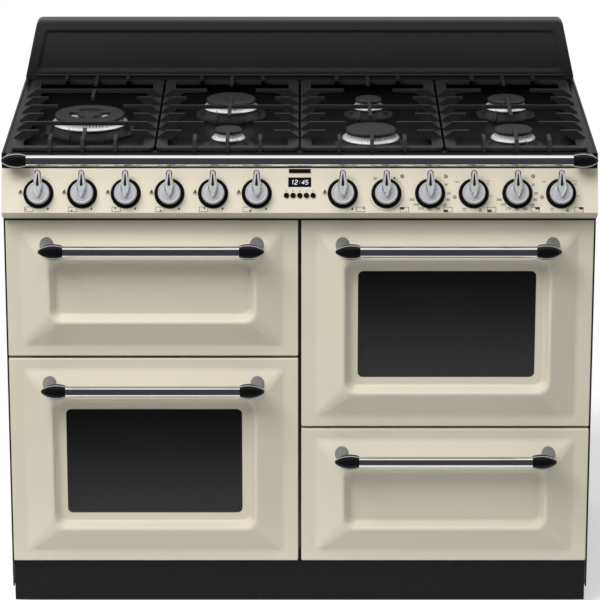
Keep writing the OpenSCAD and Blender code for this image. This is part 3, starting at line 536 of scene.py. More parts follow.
def panel_place(x, up, out=0.0):
    """Axes on the control panel's face: x to the right, y up along the face, z outwards."""
    up_face = Vector((0, math.sin(PANEL_TILT), math.cos(PANEL_TILT)))
    outwards = Vector((0, -math.cos(PANEL_TILT), math.sin(PANEL_TILT)))
    origin = PANEL_FOOT + Vector((x, 0, 0)) + up_face * up + outwards * out
    return matrix(((1, 0, 0), up_face, outwards), origin)


def door_place(name):
    """Axes of a door: x to the right, y inwards from its flat margin, z up from its lower edge."""
    x, z, _ = DOORS[name]
    return Matrix.Translation((x, FACE_Y, z))


def smooth(mesh, crease):
    mesh.shade_smooth()
    mesh.set_sharp_from_angle(angle=math.radians(crease))


def piece(name, shape, material, body, nodes=(), place=None, crease=32):
    """A finished piece: its mesh, material and place, the body that it rides on, and the nodes that it
    stands for."""
    mesh = bpy.data.meshes.new(name)
    mesh.from_pydata([Vector(p) * MM for p in shape.points], [], shape.faces)
    work = bmesh.new()
    work.from_mesh(mesh)
    bmesh.ops.remove_doubles(work, verts=work.verts, dist=1e-6)
    bmesh.ops.dissolve_degenerate(work, edges=work.edges, dist=1e-7)
    bmesh.ops.recalc_face_normals(work, faces=work.faces)
    work.to_mesh(mesh)
    work.free()
    smooth(mesh, crease)
    made = bpy.data.objects.new(name, mesh)
    bpy.context.scene.collection.objects.link(made)
    mesh.materials.append(finish(material))
    if place is not None:
        made.matrix_world = Matrix.Translation(place.translation * MM) @ place.to_3x3().to_4x4()
    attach(made, body)
    if nodes:
        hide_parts(*nodes)
    return made


def modifier(made, kind, **settings):
    added = made.modifiers.new(kind.title(), kind)
    for key, value in settings.items():
        setattr(added, key, value)


def fold(made):
    """Gives a pressed skin the thickness of its sheet."""
    modifier(made, "SOLIDIFY", thickness=sizes().sheet, offset=-1, use_even_offset=True)
    modifier(made, "WEIGHTED_NORMAL", keep_sharp=True)


def dress(node, material, edge=0.0):
    """Gives a CAD node its material, and rounds its edges where edge is more than 0."""
    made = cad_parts[node]
    made.data.materials.clear()
    made.data.materials.append(finish(material))
    if edge:
        modifier(made, "WELD", merge_threshold=0.00001)
        modifier(made, "DECIMATE", decimate_type="DISSOLVE", angle_limit=math.radians(0.6))
        modifier(made, "BEVEL", width=edge, segments=2, limit_method="ANGLE", angle_limit=math.radians(28))
        modifier(made, "WEIGHTED_NORMAL", keep_sharp=True)
    return made


# pressed doors

MARGIN_SIDE = 28
MARGIN_EDGE = 21.5
HINGE_X = 226.75
SLOT_HALF_W = 3.5
DOOR_CORNER = 2.5
PRESSING_W = 77.5
WINDOW_LAP = 0.5


def pressing_profile(floor):
    """How far in from the flat margin, and how far back: crease, slope, crest, wall and floor."""
    crease, crest = sizes().crease / MM, sizes().crest / MM
    line = [(-16, 0, 0), (0, 0, 0), (52.6, -25.26, 0), (63, -4, 0), (floor, -4, 0)]
    return [(p.x, p.y) for p in rounded_path(line, (crease, crest, 5), 7)]


def door_ring(half_w, half_h, corner, y, mid_z):
    """A ring of a door's pressing; four points on its lower edge mark where the hinge slots begin and end."""
    steps = 6
    ring = [(x, y, mid_z + z) for x, z in rounded_rectangle(half_w, half_h, corner, steps)]
    ends = [HINGE_X - SLOT_HALF_W, HINGE_X + SLOT_HALF_W]
    ends = [-x for x in reversed(ends)] + ends
    slots = [x / (DOOR_W / 2 - DOOR_CORNER) * (half_w - corner) for x in ends]
    split = 3 * (steps + 1)
    return ring[:split] + [(x, y, mid_z - half_h) for x in slots] + ring[split:]


def in_slot(point, edge):
    """Whether a point lies on the folded edge where a hinge arm passes through it."""
    return point[1] in edge and point[2] == 0 and abs(abs(point[0]) - HINGE_X) < SLOT_HALF_W + 0.5


def door_pressing(h, window, hinged):
    """The whole door skin: folded edge, flat margin, raised pressing and recess."""
    half_w, half_h, mid = DOOR_W / 2, h / 2, h / 2
    edge = (22, 12, 2)
    rings = [door_ring(half_w, half_h, DOOR_CORNER, y, mid) for y in edge]
    for d, y in ((0.25, 1), (1, 0.25), (2, 0)):
        rings.append(door_ring(half_w - d, half_h - d, DOOR_CORNER, y, mid))
    corners = ((-16, 3), (-3, 7), (50, 22), (53.5, 21), (63, 14), (PRESSING_W, 10))
    inner_w, inner_h = half_w - MARGIN_SIDE, half_h - MARGIN_EDGE
    for reach, y in pressing_profile(PRESSING_W):
        rings.append(door_ring(inner_w - reach, inner_h - reach, between(reach, corners), y, mid))
    if window:
        reach = PRESSING_W + WINDOW_LAP
        rings.append(door_ring(inner_w - reach, inner_h - reach, 9.5, -2.6, mid))
    shape = Shape().loft(rings, front=False, back=not window)
    if hinged:
        shape.faces = [
            face for face in shape.faces if not all(in_slot(shape.points[i], edge) for i in face)]
    return shape


class COOKER_OT_doors(bpy.types.Operator):
    """Press the three doors and the drawer front out of enamelled sheet"""

    bl_idname = "cooker.doors"
    bl_label = "Pressed doors"

    def execute(self, context):
        for name, (_, _, h) in DOORS.items():
            hinged = name != "drawer"
            node = name + "_skin" if hinged else "drawer_front"
            pressing = door_pressing(h, name in WINDOWS, hinged)
            fold(piece(
                name + "_pressing", pressing, "cream_enamel", name, (node,),
                door_place(name), 40))
            if hinged:
                dress(name + "_liner", "oven_enamel")
            else:
                dress("drawer_box", "zinc_steel")
        for name in WINDOWS:
            dress(name + "_glass", "oven_glass")
        return {"FINISHED"}


# handles and rail

CAP_LEN = 46
CAP_R = 14.6
CAP_SWEEP = math.radians(140)
# painted highlight: where the bright lines run on each cap, in degrees up from straight ahead
PAINTED_HIGHLIGHT_ANGLES = (66, -42)
BAR_R = 10.5
HANDLE_OUT = 52
HANDLE_DROP = 48
HANDLE_BAR_HALF = 163
RAIL_OUT = 24
RAIL_DROP = 7
RAIL_BAR_HALF = 503


def cap_radius(along):
    """Radius of an end cap at that distance from its point."""
    return CAP_R * max(0, math.sin(CAP_SWEEP * along / CAP_LEN)) ** 0.56


def leaf_cap(shape, start, side):
    """A leaf-shaped end: its point at start + side * CAP_LEN, its open end on the bar."""
    place = matrix(((0, 0, 1), (0, 1, 0), (-side, 0, 0)), (start + side * CAP_LEN, 0, 0))
    outline = [(cap_radius(CAP_LEN * (k / 20) ** 1.5), CAP_LEN * (k / 20) ** 1.5) for k in range(21)]
    outline.append((outline[-1][0] - 1, CAP_LEN))
    return shape.lathe(outline, 40, place)


def cap_trim(shape, start, side, angle):
    """A thin bright line along a cap from its point to the bar, a painted highlight on the cap's glossy edge;
    the angle is measured up from straight ahead.
    """
    path = []
    for k in range(15):
        along = 3 + (CAP_LEN - 3) * k / 14
        reach = cap_radius(along) + 0.1
        path.append((start + side * (CAP_LEN - along), -reach * math.cos(angle), reach * math.sin(angle)))
    return shape.tube(path, sizes().trim / MM, 8)


def handle(name, origin, bar_half, stand, body, node):
    """Bar, two leaf-shaped caps with bright lines as painted highlights, and two stand-offs turned from
    (radius, distance).
    """
    place = Matrix.Translation(origin)
    along_x = matrix(((0, 1, 0), (0, 0, 1), (1, 0, 0)), (0, 0, 0))
    ends = [(BAR_R - 0.6, bar_half + 3), (BAR_R, bar_half)]
    outline = [(radius, -along) for radius, along in ends] + ends[::-1]
    bar = Shape().lathe(outline, 64, along_x)
    caps, painted_highlights, stands = Shape(), Shape(), Shape()
    for side in (-1, 1):
        leaf_cap(caps, side * bar_half, side)
        for angle in PAINTED_HIGHLIGHT_ANGLES:
            cap_trim(painted_highlights, side * bar_half, side, math.radians(angle))
        backwards = matrix(((1, 0, 0), (0, 0, 1), (0, 1, 0)), (side * (bar_half + CAP_LEN * 0.7), 0, 0))
        stands.lathe(stand, 40, backwards)
    bar = piece(name + "_bar", bar, "chrome", body, (node,), place)
    piece(name + "_caps", caps, "black_plastic", body, (node,), place)
    # painted highlight: bright metal lines along the black caps, where their glossy edges catch light
    piece(name + "_trim", painted_highlights, "brushed_metal", body, (node,), place)
    piece(name + "_stands", stands, "satin_metal", body, (node,), place)
    return bar


class COOKER_OT_handles(bpy.types.Operator):
    """Four handles and the front rail, each a bright bar between two black leaf-shaped ends"""

    bl_idname = "cooker.handles"
    bl_label = "Handles and rail"

    def execute(self, context):
        stand = [(5.2, 6), (6.4, 9), (7.2, 18), (9.0, 27), (11.6, 36), (14.2, 43), (15.3, 47), (15.6, 50.5),
                 (15, 52.3)]
        for body, (x, z, h) in DOORS.items():
            origin = (x, FACE_Y - HANDLE_OUT, z + h - HANDLE_DROP)
            handle(body + "_handle", origin, HANDLE_BAR_HALF, stand, body, body + "_handle")
        post = [(6.2, 5), (6.5, 6), (6.5, 22), (7.6, 23.2), (7.6, 24)]
        origin = (0, FACE_Y - RAIL_OUT, HOB_Z - RAIL_DROP)
        rail = handle("rail", origin, RAIL_BAR_HALF, post, "cooker", "front_rail")
        rail.visible_shadow = False
        return {"FINISHED"}


# knobs

def along_rays(outline, centre, count):
    """Where rays from the centre meet a convex outline, anticlockwise from +x."""
    met = []
    for k in range(count):
        a = 2 * math.pi * k / count
        ray = Vector((math.cos(a), math.sin(a)))
        best = 0
        for i, (x, y) in enumerate(outline):
            start = Vector((outline[i - 1][0], outline[i - 1][1])) - centre
            run = Vector((x, y)) - centre - start
            cross = ray.x * run.y - ray.y * run.x
            if abs(cross) > 1e-9:
                t = (start.x * run.y - start.y * run.x) / cross
                share = (start.x * ray.y - start.y * ray.x) / cross
                if -1e-6 <= share <= 1 + 1e-6:
                    best = max(best, t)
        met.append((centre.x + ray.x * best, centre.y + ray.y * best))
    return met


def arc(centre, radius, start, end, steps):
    """Points on a circle, the angles in degrees."""
    turns = [math.radians(start + (end - start) * k / steps) for k in range(steps + 1)]
    return [(centre[0] + radius * math.cos(a), centre[1] + radius * math.sin(a)) for a in turns]


LEVER = [(0, -10), (3.1, -5.6), (5.9, 0), (7.7, 4.2), (8.6, 7.6), (8.7, 9.6), (8.4, 13), (7.7, 18), (6.9, 25),
         (6.2, 31)]
LEVER += arc((0, 35.3), 5.7, 0, 180, 16)
LEVER += [(-x, y) for x, y in reversed(LEVER[1:10])]
LEVER_SLOT = arc((0, 13.4), 2.9, 180, 360, 12) + [(1.1, 32), (0, 35), (-1.1, 32)]
LEVER_CENTRE = Vector((0, 19))
LEVER_TOP = 28


def lever_rings(outline, levels):
    """One ring for each (inset, height)."""
    return [[(x, y, w) for x, y in inset(outline, d)] for d, w in levels]


class COOKER_OT_knobs(bpy.types.Operator):
    """Twelve knobs: black ring, brushed disc and a long lever with a dark slot"""

    bl_idname = "cooker.knobs"
    bl_label = "Knobs"

    def execute(self, context):
        bezels = Shape()
        bevel = sizes().lever_edge / MM
        rim = along_rays(LEVER, LEVER_CENTRE, 72)
        slot = along_rays(LEVER_SLOT, LEVER_CENTRE, 72)
        for number, x in enumerate(KNOB_X, 1):
            name = f"knob_{number}"
            place = panel_place(x, KNOB_LINE)
            bezels.lathe([(24.5, 0), (27.6, 0), (28, 0.5), (27.9, 1.8), (27.3, 2.9), (26.2, 3.7), (24.6, 4),
                          (21.8, 3.9), (20.4, 3.2), (6, 3.1), (6, 1)], 72, place)
            disc = Shape().lathe([
                (6.5, 4.8), (20.4, 4.6), (21, 5.2), (21.1, 6.4), (20.8, 13), (20.5, 18.2), (20.1, 19.2),
                (19.5, 19.9), (18.8, 20.1), (18.1, 19.8), (17.3, 19.2), (16.6, 19.1), (16, 19.4),
                (0, 19.5)], 96)
            piece(name + "_disc", disc, "spun_metal", name, (name,), place, 40)
            sides = lever_rings(rim, (
                (0, 17), (0, LEVER_TOP - 1 - bevel), (0.35, LEVER_TOP - 0.4 - bevel),
                (bevel - 0.3, LEVER_TOP - 0.25), (bevel, LEVER_TOP)))
            face = sides[-1:] + lever_rings(slot, (
                (0, LEVER_TOP), (0.15, LEVER_TOP - 0.3), (0.25, LEVER_TOP - 1.4)))
            lever, face = Shape().loft(sides, back=False), Shape().loft(face, front=False)
            piece(name + "_lever", lever, "chrome", name, (name,), place, 24)
            piece(name + "_face", face, "brushed_metal", name, (name,), place, 24)
            well = Shape().plate(inset(LEVER_SLOT, 0.2), 26.62, 26.75)
            piece(name + "_slot", well, "satin_black", name, (name,), place)
        piece("knob_rings", bezels, "black_plastic", "cooker", ("knob_bezels",), crease=45)
        return {"FINISHED"}


# control panel and its markings

INK_T = 0.15
DIGITS = {
    "0": [[(0.15, 1), (0, 0.8), (0, 0.2), (0.15, 0), (0.45, 0), (0.6, 0.2), (0.6, 0.8), (0.45, 1),
           (0.15, 1)]],
    "1": [[(0.1, 0.75), (0.35, 1), (0.35, 0)]],
    "2": [[(0, 0.8), (0.12, 1), (0.45, 1), (0.6, 0.82), (0.6, 0.66), (0, 0.12), (0, 0), (0.6, 0)]],
    "3": [[(0, 0.92), (0.1, 1), (0.45, 1), (0.6, 0.86), (0.6, 0.62), (0.45, 0.52), (0.2, 0.52)],
          [(0.45, 0.52), (0.6, 0.4), (0.6, 0.15), (0.45, 0), (0.1, 0), (0, 0.08)]],
    "4": [[(0.45, 0), (0.45, 1), (0, 0.3), (0.62, 0.3)]],
    "5": [[(0.56, 1), (0.05, 1), (0, 0.55), (0.42, 0.6), (0.6, 0.45), (0.6, 0.15), (0.42, 0), (0, 0)]],
    "6": [[(0.5, 1), (0.2, 0.9), (0, 0.5), (0, 0.18), (0.15, 0), (0.45, 0), (0.6, 0.18), (0.6, 0.42),
           (0.45, 0.58), (0.15, 0.58), (0, 0.4)]],
    "7": [[(0, 1), (0.6, 1), (0.2, 0)]],
    "8": [[(0.15, 0.53), (0, 0.66), (0, 0.87), (0.15, 1), (0.45, 1), (0.6, 0.87), (0.6, 0.66), (0.45, 0.53),
           (0.15, 0.53), (0, 0.38), (0, 0.15), (0.15, 0), (0.45, 0), (0.6, 0.15), (0.6, 0.38), (0.45, 0.53)]],
    "9": [[(0.6, 0.6), (0.45, 0.42), (0.15, 0.42), (0, 0.58), (0, 0.82), (0.15, 1), (0.45, 1), (0.6, 0.82),
           (0.6, 0.5), (0.4, 0.1), (0.1, 0)]],
    ":": [[(0.26, 0.7), (0.34, 0.7)], [(0.26, 0.28), (0.34, 0.28)]],
}


SQUARE = ((-1, -1), (1, -1), (1, 1), (-1, 1))


class Print:
    """Thin printed marks on the control panel; a mark is drawn at (u, v) on the face, in millimetres."""

    def __init__(self, line=0.85):
        self.shape, self.line, self.place = Shape(), line, None

    def at_knob(self, number):
        """What is drawn next is measured from that knob's centre."""
        self.place = panel_place(KNOB_X[number - 1], KNOB_LINE)
        return self

    def stroke(self, points, at=(0, 0), width=None, closed=False):
        """A line of that width through the points."""
        half = (width or self.line) / 2
        path = [Vector((x + at[0], y + at[1])) for x, y in points]
        if closed:
            path.append(path[0])
        rings = []
        for i, point in enumerate(path):
            before = path[i - 1] if i else (path[-2] if closed else point)
            after = path[i + 1] if i < len(path) - 1 else (path[1] if closed else point)
            into, out = (point - before), (after - point)
            into = into.normalized() if into.length > 1e-9 else out.normalized()
            out = out.normalized() if out.length > 1e-9 else into
            along = (into + out).normalized() if (into + out).length > 1e-6 else into
            reach = half / max(0.45, along.dot(out))
            side = Vector((-along.y, along.x)) * reach
            left, right = point + side, point - side
            rings.append([(*left, 0), (*left, INK_T), (*right, INK_T), (*right, 0)])
        self.shape.loft(rings, not closed, not closed, place=self.place)
        return self

    def blob(self, outline, at=(0, 0)):
        """A filled mark."""
        self.shape.plate([(x + at[0], y + at[1]) for x, y in outline], 0, INK_T, place=self.place)
        return self

    def dot(self, at, radius):
        """A round spot."""
        return self.blob(arc((0, 0), radius, 0, 345, 15), at)

    def digits(self, text, at, height, line=None, slant=0.0):
        """Digits side by side, centred on at."""
        step = 0.86 * height
        start = -step * len(text) / 2 + 0.13 * height
        for k, digit in enumerate(text):
            left = start + k * step
            for points in DIGITS[digit]:
                moved = [(left + (x + slant * (y - 0.5)) * height, (y - 0.5) * height) for x, y in points]
                self.stroke(moved, at, line)
        return self

    def flame(self, at, wide, high, filled=True):
        """A flame that leans a little to the left at its point."""
        outline = [(0.05, 1), (-0.28, 0.62), (-0.5, 0.3), (-0.42, 0.1), (-0.2, 0), (0.2, 0), (0.44, 0.12),
                   (0.5, 0.34), (0.3, 0.66)]
        outline = [(x * wide, (y - 0.5) * high) for x, y in outline]
        return self.blob(outline, at) if filled else self.stroke(outline, at, closed=True)

    def frame(self, at, wide, high):
        """The outline of a rectangle."""
        return self.stroke([(x * wide / 2, y * high / 2) for x, y in SQUARE], at, closed=True)

    def fan(self, at, radius):
        """Three blades in a ring."""
        for turn in (90, 210, 330):
            middle = arc((0, 0), radius * 0.5, turn, turn, 1)[0]
            self.blob(arc(middle, radius * 0.38, 0, 330, 11), at)
        return self.stroke(arc((0, 0), radius, 0, 350, 24), at, 0.35, closed=True)


QUARTERS = {"upper left": (-1, 1), "upper right": (1, 1), "lower left": (-1, -1)}


def gas_marks(marks, number):
    """Ignition flame, low flame, and the plan of the hob with the knob's burner as a dot."""
    marks.at_knob(number).flame((-33, 2.9), 4.4, 6.6).flame((-33, 2.2), 7.6, 9.4, filled=False)
    marks.flame((17.5, -28), 3.8, 5)
    x, y, _ = BURNERS[number - 1]
    left, low = 33 if number == 7 else -17.5, -29.6
    marks.frame((left, low), 15.6, 8.8)
    if number > 1:
        low += 2.1 if y > 0 else -2.1
    marks.dot((left + 5.3 * x / BURNERS[-1][0], low), 1.5)


def oven_plan(marks, quarter):
    """The plan of the cooker's front, with the knob's own oven filled."""
    sx, sy = QUARTERS[quarter]
    marks.frame((33, -30), 15.6, 8.8)
    marks.blob([(x * 3.7 + sx * 3.8, y * 2.1 + sy * 2.1) for x, y in SQUARE], (33, -30))


def grill_marks(marks):
    """A sweep round the grill's knob, its heating element and a flame."""
    marks.at_knob(8)
    marks.stroke(arc((0, 0), 32, 195, 425, 48), width=0.45)
    marks.stroke([(-3.6, 0), (-1.8, 2.2), (0, 0), (1.8, 2.2), (3.6, 0)], (-20.7, 25.6))
    marks.stroke([(-3.6, 3.4), (3.6, 3.4)], (-20.7, 25.6)).flame((15, 29), 3.4, 5)
    oven_plan(marks, "upper left")


def thermostat_marks(marks, number, quarter):
    """Oven temperatures and the crossed-out sign of the off position."""
    marks.at_knob(number)
    spots = ((34.8, 0.5), (33, -11.7), (26.3, -21.6), (13.2, -28.3), (-2.4, -29.7), (-17, -27.6),
             (-26, -20.7), (-33.5, -11.4))
    for at, degrees in zip(spots, (60, 90, 120, 150, 180, 210, 240, 260)):
        marks.digits(str(degrees), at, 3.9, 0.7)
    marks.stroke([(-3, -3), (3, 3)], (29.6, 16.2)).stroke([(-3, 2.2), (0.5, -0.6), (3, -2.2)], (29.6, 16.2))
    oven_plan(marks, quarter)


def function_marks(marks, number, quarter):
    """Signs of the oven's ways of heating: lamp, thaw, top and bottom heat, grill, fan."""
    marks.at_knob(number)
    for at, bars in (((-31, 20.7), "w"), ((26.5, 20.7), "tb"), ((32, -7), "t"), ((12, -30.5), "fb"),
                     ((-17, -29.5), "wb"), ((-35, -7), "fo")):
        if "t" in bars:
            marks.stroke([(-2.8, 1.6), (-1.6, 2.6), (1.6, 2.6), (2.8, 1.6)], at)
        if "b" in bars:
            marks.stroke([(-2.8, -3.2), (2.8, -3.2)], at)
        if "w" in bars:
            marks.stroke([(-3.4, 0), (-1.7, 2), (0, 0), (1.7, 2), (3.4, 0)], at)
        if "f" in bars:
            marks.fan(at, 2.1)
        if "o" in bars:
            marks.stroke(arc((0, 0), 3.4, 0, 345, 18), at, 0.6, closed=True)
    oven_plan(marks, quarter)


def clock_signs(marks):
    """Small signs over the five buttons: bell, pan, timer, minus and plus."""
    marks.place = panel_place(0, KNOB_LINE)
    spots = [(12.3 * k, 4.6) for k in (-2, -1, 0, 1, 2)]
    marks.stroke([(-1.4, -1), (-1, 1), (0, 1.6), (1, 1), (1.4, -1)], spots[0], 0.4, closed=True)
    marks.stroke([(-1.6, 0.8), (-1.4, -1.2), (1.4, -1.2), (1.6, 0.8)], spots[1], 0.4, closed=True)
    marks.stroke([(1.6, 0.8), (3, 1.2)], spots[1], 0.4)
    marks.stroke(arc((0, 0), 1.5, 0, 340, 17), spots[2], 0.4, closed=True)
    marks.stroke([(0, 0), (0, 1.2)], spots[2], 0.4)
    for at in spots[3:]:
        marks.stroke([(-1.4, 0), (1.4, 0)], at, 0.55)
    marks.stroke([(0, -1.4), (0, 1.4)], spots[4], 0.55)


class COOKER_OT_control_panel(bpy.types.Operator):
    """Enamelled control panel with its printed marks, clock, buttons and lamps"""

    bl_idname = "cooker.control_panel"
    bl_label = "Control panel"

    def execute(self, context):
        dress("control_panel", "cream_enamel", sizes().pressed_edge)
        dress("clock_display", "black_plastic", 0.0004)
        for number in range(1, 6):
            dress(f"button_{number}", "black_plastic", 0.0006)
        marks = Print()
        for number in range(1, 8):
            gas_marks(marks, number)
        grill_marks(marks)
        thermostat_marks(marks, 9, "lower left")
        function_marks(marks, 10, "lower left")
        thermostat_marks(marks, 11, "upper right")
        function_marks(marks, 12, "upper right")
        clock_signs(marks)
        piece("panel_marks", marks.shape, "ink", "cooker")
        clock = Print(0.8)
        clock.place = panel_place(0, KNOB_LINE + 20.7, 0.5)
        clock.digits("12:45", (0, 0), 7.6, slant=0.14)
        piece("clock_digits", clock.shape, "lit_digits", "cooker")
        lenses, centres = Shape(), Shape()
        for number in (8, 9, 11):
            place = panel_place(KNOB_X[number - 1] + 29, KNOB_LINE + 32)
            lenses.lathe([
                (2.6, -7), (2.6, 0.1), (3.5, 0.1), (3.5, 0.7), (3.1, 1.2), (2.2, 1.4), (1.5, 1.2),
                (1.5, 0.6)], 32, place)
            centres.lathe([(1.6, 0.2), (1.6, 1), (1.1, 1.3), (0, 1.4)], 24, place)
        piece("lamp_lenses", lenses, "lamp_lens", "cooker", ("indicator_lamps",))
        piece("lamp_centres", centres, "spun_metal", "cooker", ("indicator_lamps",))
        tab = Shape().plate(rounded_rectangle(20, 3.6, 1.2, 4), 0, 2.4, 0.6, panel_place(0, 77.6))
        piece("panel_tab", tab, "black_plastic", "cooker")
        # painted shadow: a black strip under the panel's foot stands in for the dark gap between panel and
        # doors
        strip = [(x * (HALF_W - 4), SHADOW_STRIP_Y + y * 3.8) for x, y in SQUARE]
        lip = Shape().plate(strip, PANEL_LOW - 4, PANEL_LOW + 0.3)
        piece("panel_lip", lip, "satin_black", "cooker")
        return {"FINISHED"}


# hob: heights above the floor and sizes, in millimetres

FLAT_TOP = 914
CAP_FOOT = 907.2
RING_FOOT = 893
TOOTH_W = 6.6
WOK_R = 60


def ring_wave(depth, levels):
    """Slots between teeth, cut into the ring at those levels of its outline; four steps to each tooth."""
    return lambda step, level: -depth if level in levels and step % 4 in (2, 3) else 0


def sector(shape, inner, outer, low, high, start, end, steps=8):
    """Part of a flat ring."""
    outline = arc((0, 0), outer, start, end, steps) + arc((0, 0), inner, end, start, steps)
    return shape.plate(outline, low, high)


class COOKER_OT_burners(bpy.types.Operator):
    """Seven burners: base plate, toothed flame ring, black cap and spark igniter"""

    bl_idname = "cooker.burners"
    bl_label = "Burners"

    def execute(self, context):
        dress("burner_plates", "cap_enamel", 0.0008)
        for number, (x, y, r) in enumerate(BURNERS, 1):
            place = Matrix.Translation((x, y, 0))
            name = f"burner_{number}"
            teeth = max(28, round(2 * math.pi * r / TOOTH_W))
            reaches = [
                (-12, RING_FOOT), (2.4, RING_FOOT), (4.9, 895), (5.5, 896), (5.2, 896.9), (1.6, 899.6),
                (0.4, 900), (-1.2, 900.4), (-1.4, 903), (-1.7, 906.6), (-4, 906.9), (-12, 906.9),
                (-12, RING_FOOT)]
            outline = [(r + reach, height) for reach, height in reaches]
            ring = Shape().lathe(outline, teeth * 4, wave=ring_wave(3.4, (7, 8, 9)))
            if r > WOK_R:
                inner = [(23.5, 899), (24, 907), (25, 908), (35, 908), (36.5, 907), (37.5, 899), (23.5, 899)]
                ring.lathe(inner, 96, wave=ring_wave(1.6, (1, 2)))
            throat = r * 0.4 + 6
            ring.lathe([(throat, 858), (throat, RING_FOOT + 1)], 32)
            piece(name + "_ring", ring, "aluminium", "cooker", ("flame_rings",), place, 35)
            cap = Shape()
            rim = [(r - 0.8, CAP_FOOT), (r, 908.2), (r, 910.4)]
            if r > WOK_R:
                top = [(r - 0.9, 912.6), (r - 2.8, 913.7), (r - 5, FLAT_TOP), (41, FLAT_TOP), (39.6, 913.4),
                       (39, 912), (39, CAP_FOOT)]
                cap.lathe([(39, CAP_FOOT), *rim, *top], 96)
                cap.lathe([
                    (21, CAP_FOOT), (22.8, 908), (22.8, 912), (22.2, 913.4), (20.6, FLAT_TOP),
                    (0, FLAT_TOP)], 64)
                for turn in (30, 150, 270):
                    sector(cap, 21.5, 40, 907.4, 913.2, turn - 17, turn + 17)
            else:
                top = [(r - 0.9, 912.4), (r - 2.6, 913.5), (r - 5, 913.9), (r * 0.5, FLAT_TOP), (0, FLAT_TOP)]
                cap.lathe([(r - 6, CAP_FOOT), *rim, *top], 72)
            piece(name + "_cap", cap, "cap_enamel", "cooker", ("burner_caps",), place, 40)
            angle = math.radians(-118 if number % 2 else -62)
            away = Vector((math.cos(angle), math.sin(angle), 0))
            spark = Matrix.Translation(Vector((x, y, 0)) + away * (r + 10))
            outline = [(1.9, 880), (1.9, 890), (1.5, 891), (1.5, 894), (1.1, 894.6), (0, 894.6)]
            pin = Shape().lathe(outline, 20)
            piece(name + "_igniter", pin, "ceramic", "cooker", place=spark)
            tip = Shape().tube([(0, 0, 894), (0, 0, 899), Vector((0, 0, 900.4)) - away * 1.4], 0.6, 10)
            piece(name + "_spark_tip", tip, "satin_metal", "cooker", place=spark)
        return {"FINISHED"}


SPLASH_Y = 297.75
SPLASH_TOP = 1024
SPLASH_FIELD = 5
SPLASH_LEAN = 27.5 / 124


def splash_ring(reach, corner, y):
    """A ring of the splashback, drawn in by reach; its ends lean inwards towards its top."""
    half_w, foot, top = HALF_W - reach, HOB_Z + reach, SPLASH_TOP - reach
    ring = []
    for x, z in rounded_rectangle(half_w, (top - foot) / 2, corner):
        height = z + (top + foot) / 2
        ring.append((x * (1 - (height - HOB_Z) * SPLASH_LEAN / half_w), y, height))
    return ring


class COOKER_OT_hob(bpy.types.Operator):
    """Black enamelled hob with its splashback and cast pan supports"""

    bl_idname = "cooker.hob"
    bl_label = "Hob and pan supports"

    def execute(self, context):
        dress("hob_top", "black_enamel", sizes().pressed_edge)
        rings = [splash_ring(0, 10, BACK_Y)]
        for reach, corner, back in ((0, 10, 4), (0.5, 10, 1.8), (1.8, 9, 0.5), (4, 8, 0)):
            rings.append(splash_ring(reach, corner, SPLASH_Y + back))
        field_y = SPLASH_Y + SPLASH_FIELD
        corners = [(8, SPLASH_Y, 0), (19, SPLASH_Y, 0), (26, field_y, 0), (40, field_y, 0)]
        rings += [splash_ring(p.x, 8, p.y) for p in rounded_path(corners, (3, 3))]
        fold(piece(
            "splashback_case", Shape().loft(rings, front=False), "splash_enamel", "cooker", ("splashback",),
            crease=40))
        bead = Shape().tube([(side * 526, SPLASH_Y, 912) for side in (-1, 1)], 2.6, 16)
        piece("splashback_bead", bead, "splash_enamel", "cooker", ("splashback",))
        for number in range(1, 5):
            dress(f"pan_support_{number}", "cast_iron")
        return {"FINISHED"}


# carcass and ovens

CARCASS = {
    "side_panels": "satin_black", "plinth": "black_enamel", "feet": "black_plastic",
    "back_panel": "zinc_steel", "base_frame": "zinc_steel", "inner_frame": "zinc_steel",
    "gas_pipes": "aluminium",
    "control_valves": "brass", "grill_cavity": "oven_enamel", "left_oven_cavity": "oven_enamel",
    "right_oven_cavity": "oven_enamel",
    "oven_shelves": "chrome", "heating_elements": "satin_metal", "left_fan": "zinc_steel",
    "right_fan": "zinc_steel",
}


class COOKER_OT_carcass(bpy.types.Operator):
    """Side panels, back, feet, ovens with their shelves, and the gas line"""

    bl_idname = "cooker.carcass"
    bl_label = "Carcass and ovens"

    def execute(self, context):
        for node, material in CARCASS.items():
            dress(node, material)
        return {"FINISHED"}


# stage

CAMERA_DOWN = 17.31


def studio_world(world):
    """Bright for the camera; metal also sees a dark room in front, which darkens the middle of the bars."""
    world.use_nodes = True
    s = Sheet(world.node_tree)
    _, forward, height = s.axes(s.node("ShaderNodeTexCoord", output="Generated"))
    room = (0 - forward).above(0.1, 0.3) * height.above(-0.93, 0.04) * (1 - height.above(0.90, 0.04))
    seen = s.node("ShaderNodeLightPath", output="Is Camera Ray")
    mirrored = s.node("ShaderNodeLightPath", output="Is Glossy Ray")
    behind = forward.above(0.3, 0.4) * (1 - height.above(0.8, 0.2))
    studio = s.mix(behind, (1.05, 1.05, 1.05, 1), (0.4, 0.4, 0.4, 1))
    plain = s.mix(mirrored, (0.36, 0.36, 0.365, 1), s.mix(room, studio, (0.05, 0.05, 0.052, 1)))
    light = s.node("ShaderNodeBackground", {}, {"Color": s.mix(seen, plain, (1, 1, 1, 1)), "Strength": 1.0})
    s.node("ShaderNodeOutputWorld", {}, {"Surface": light})


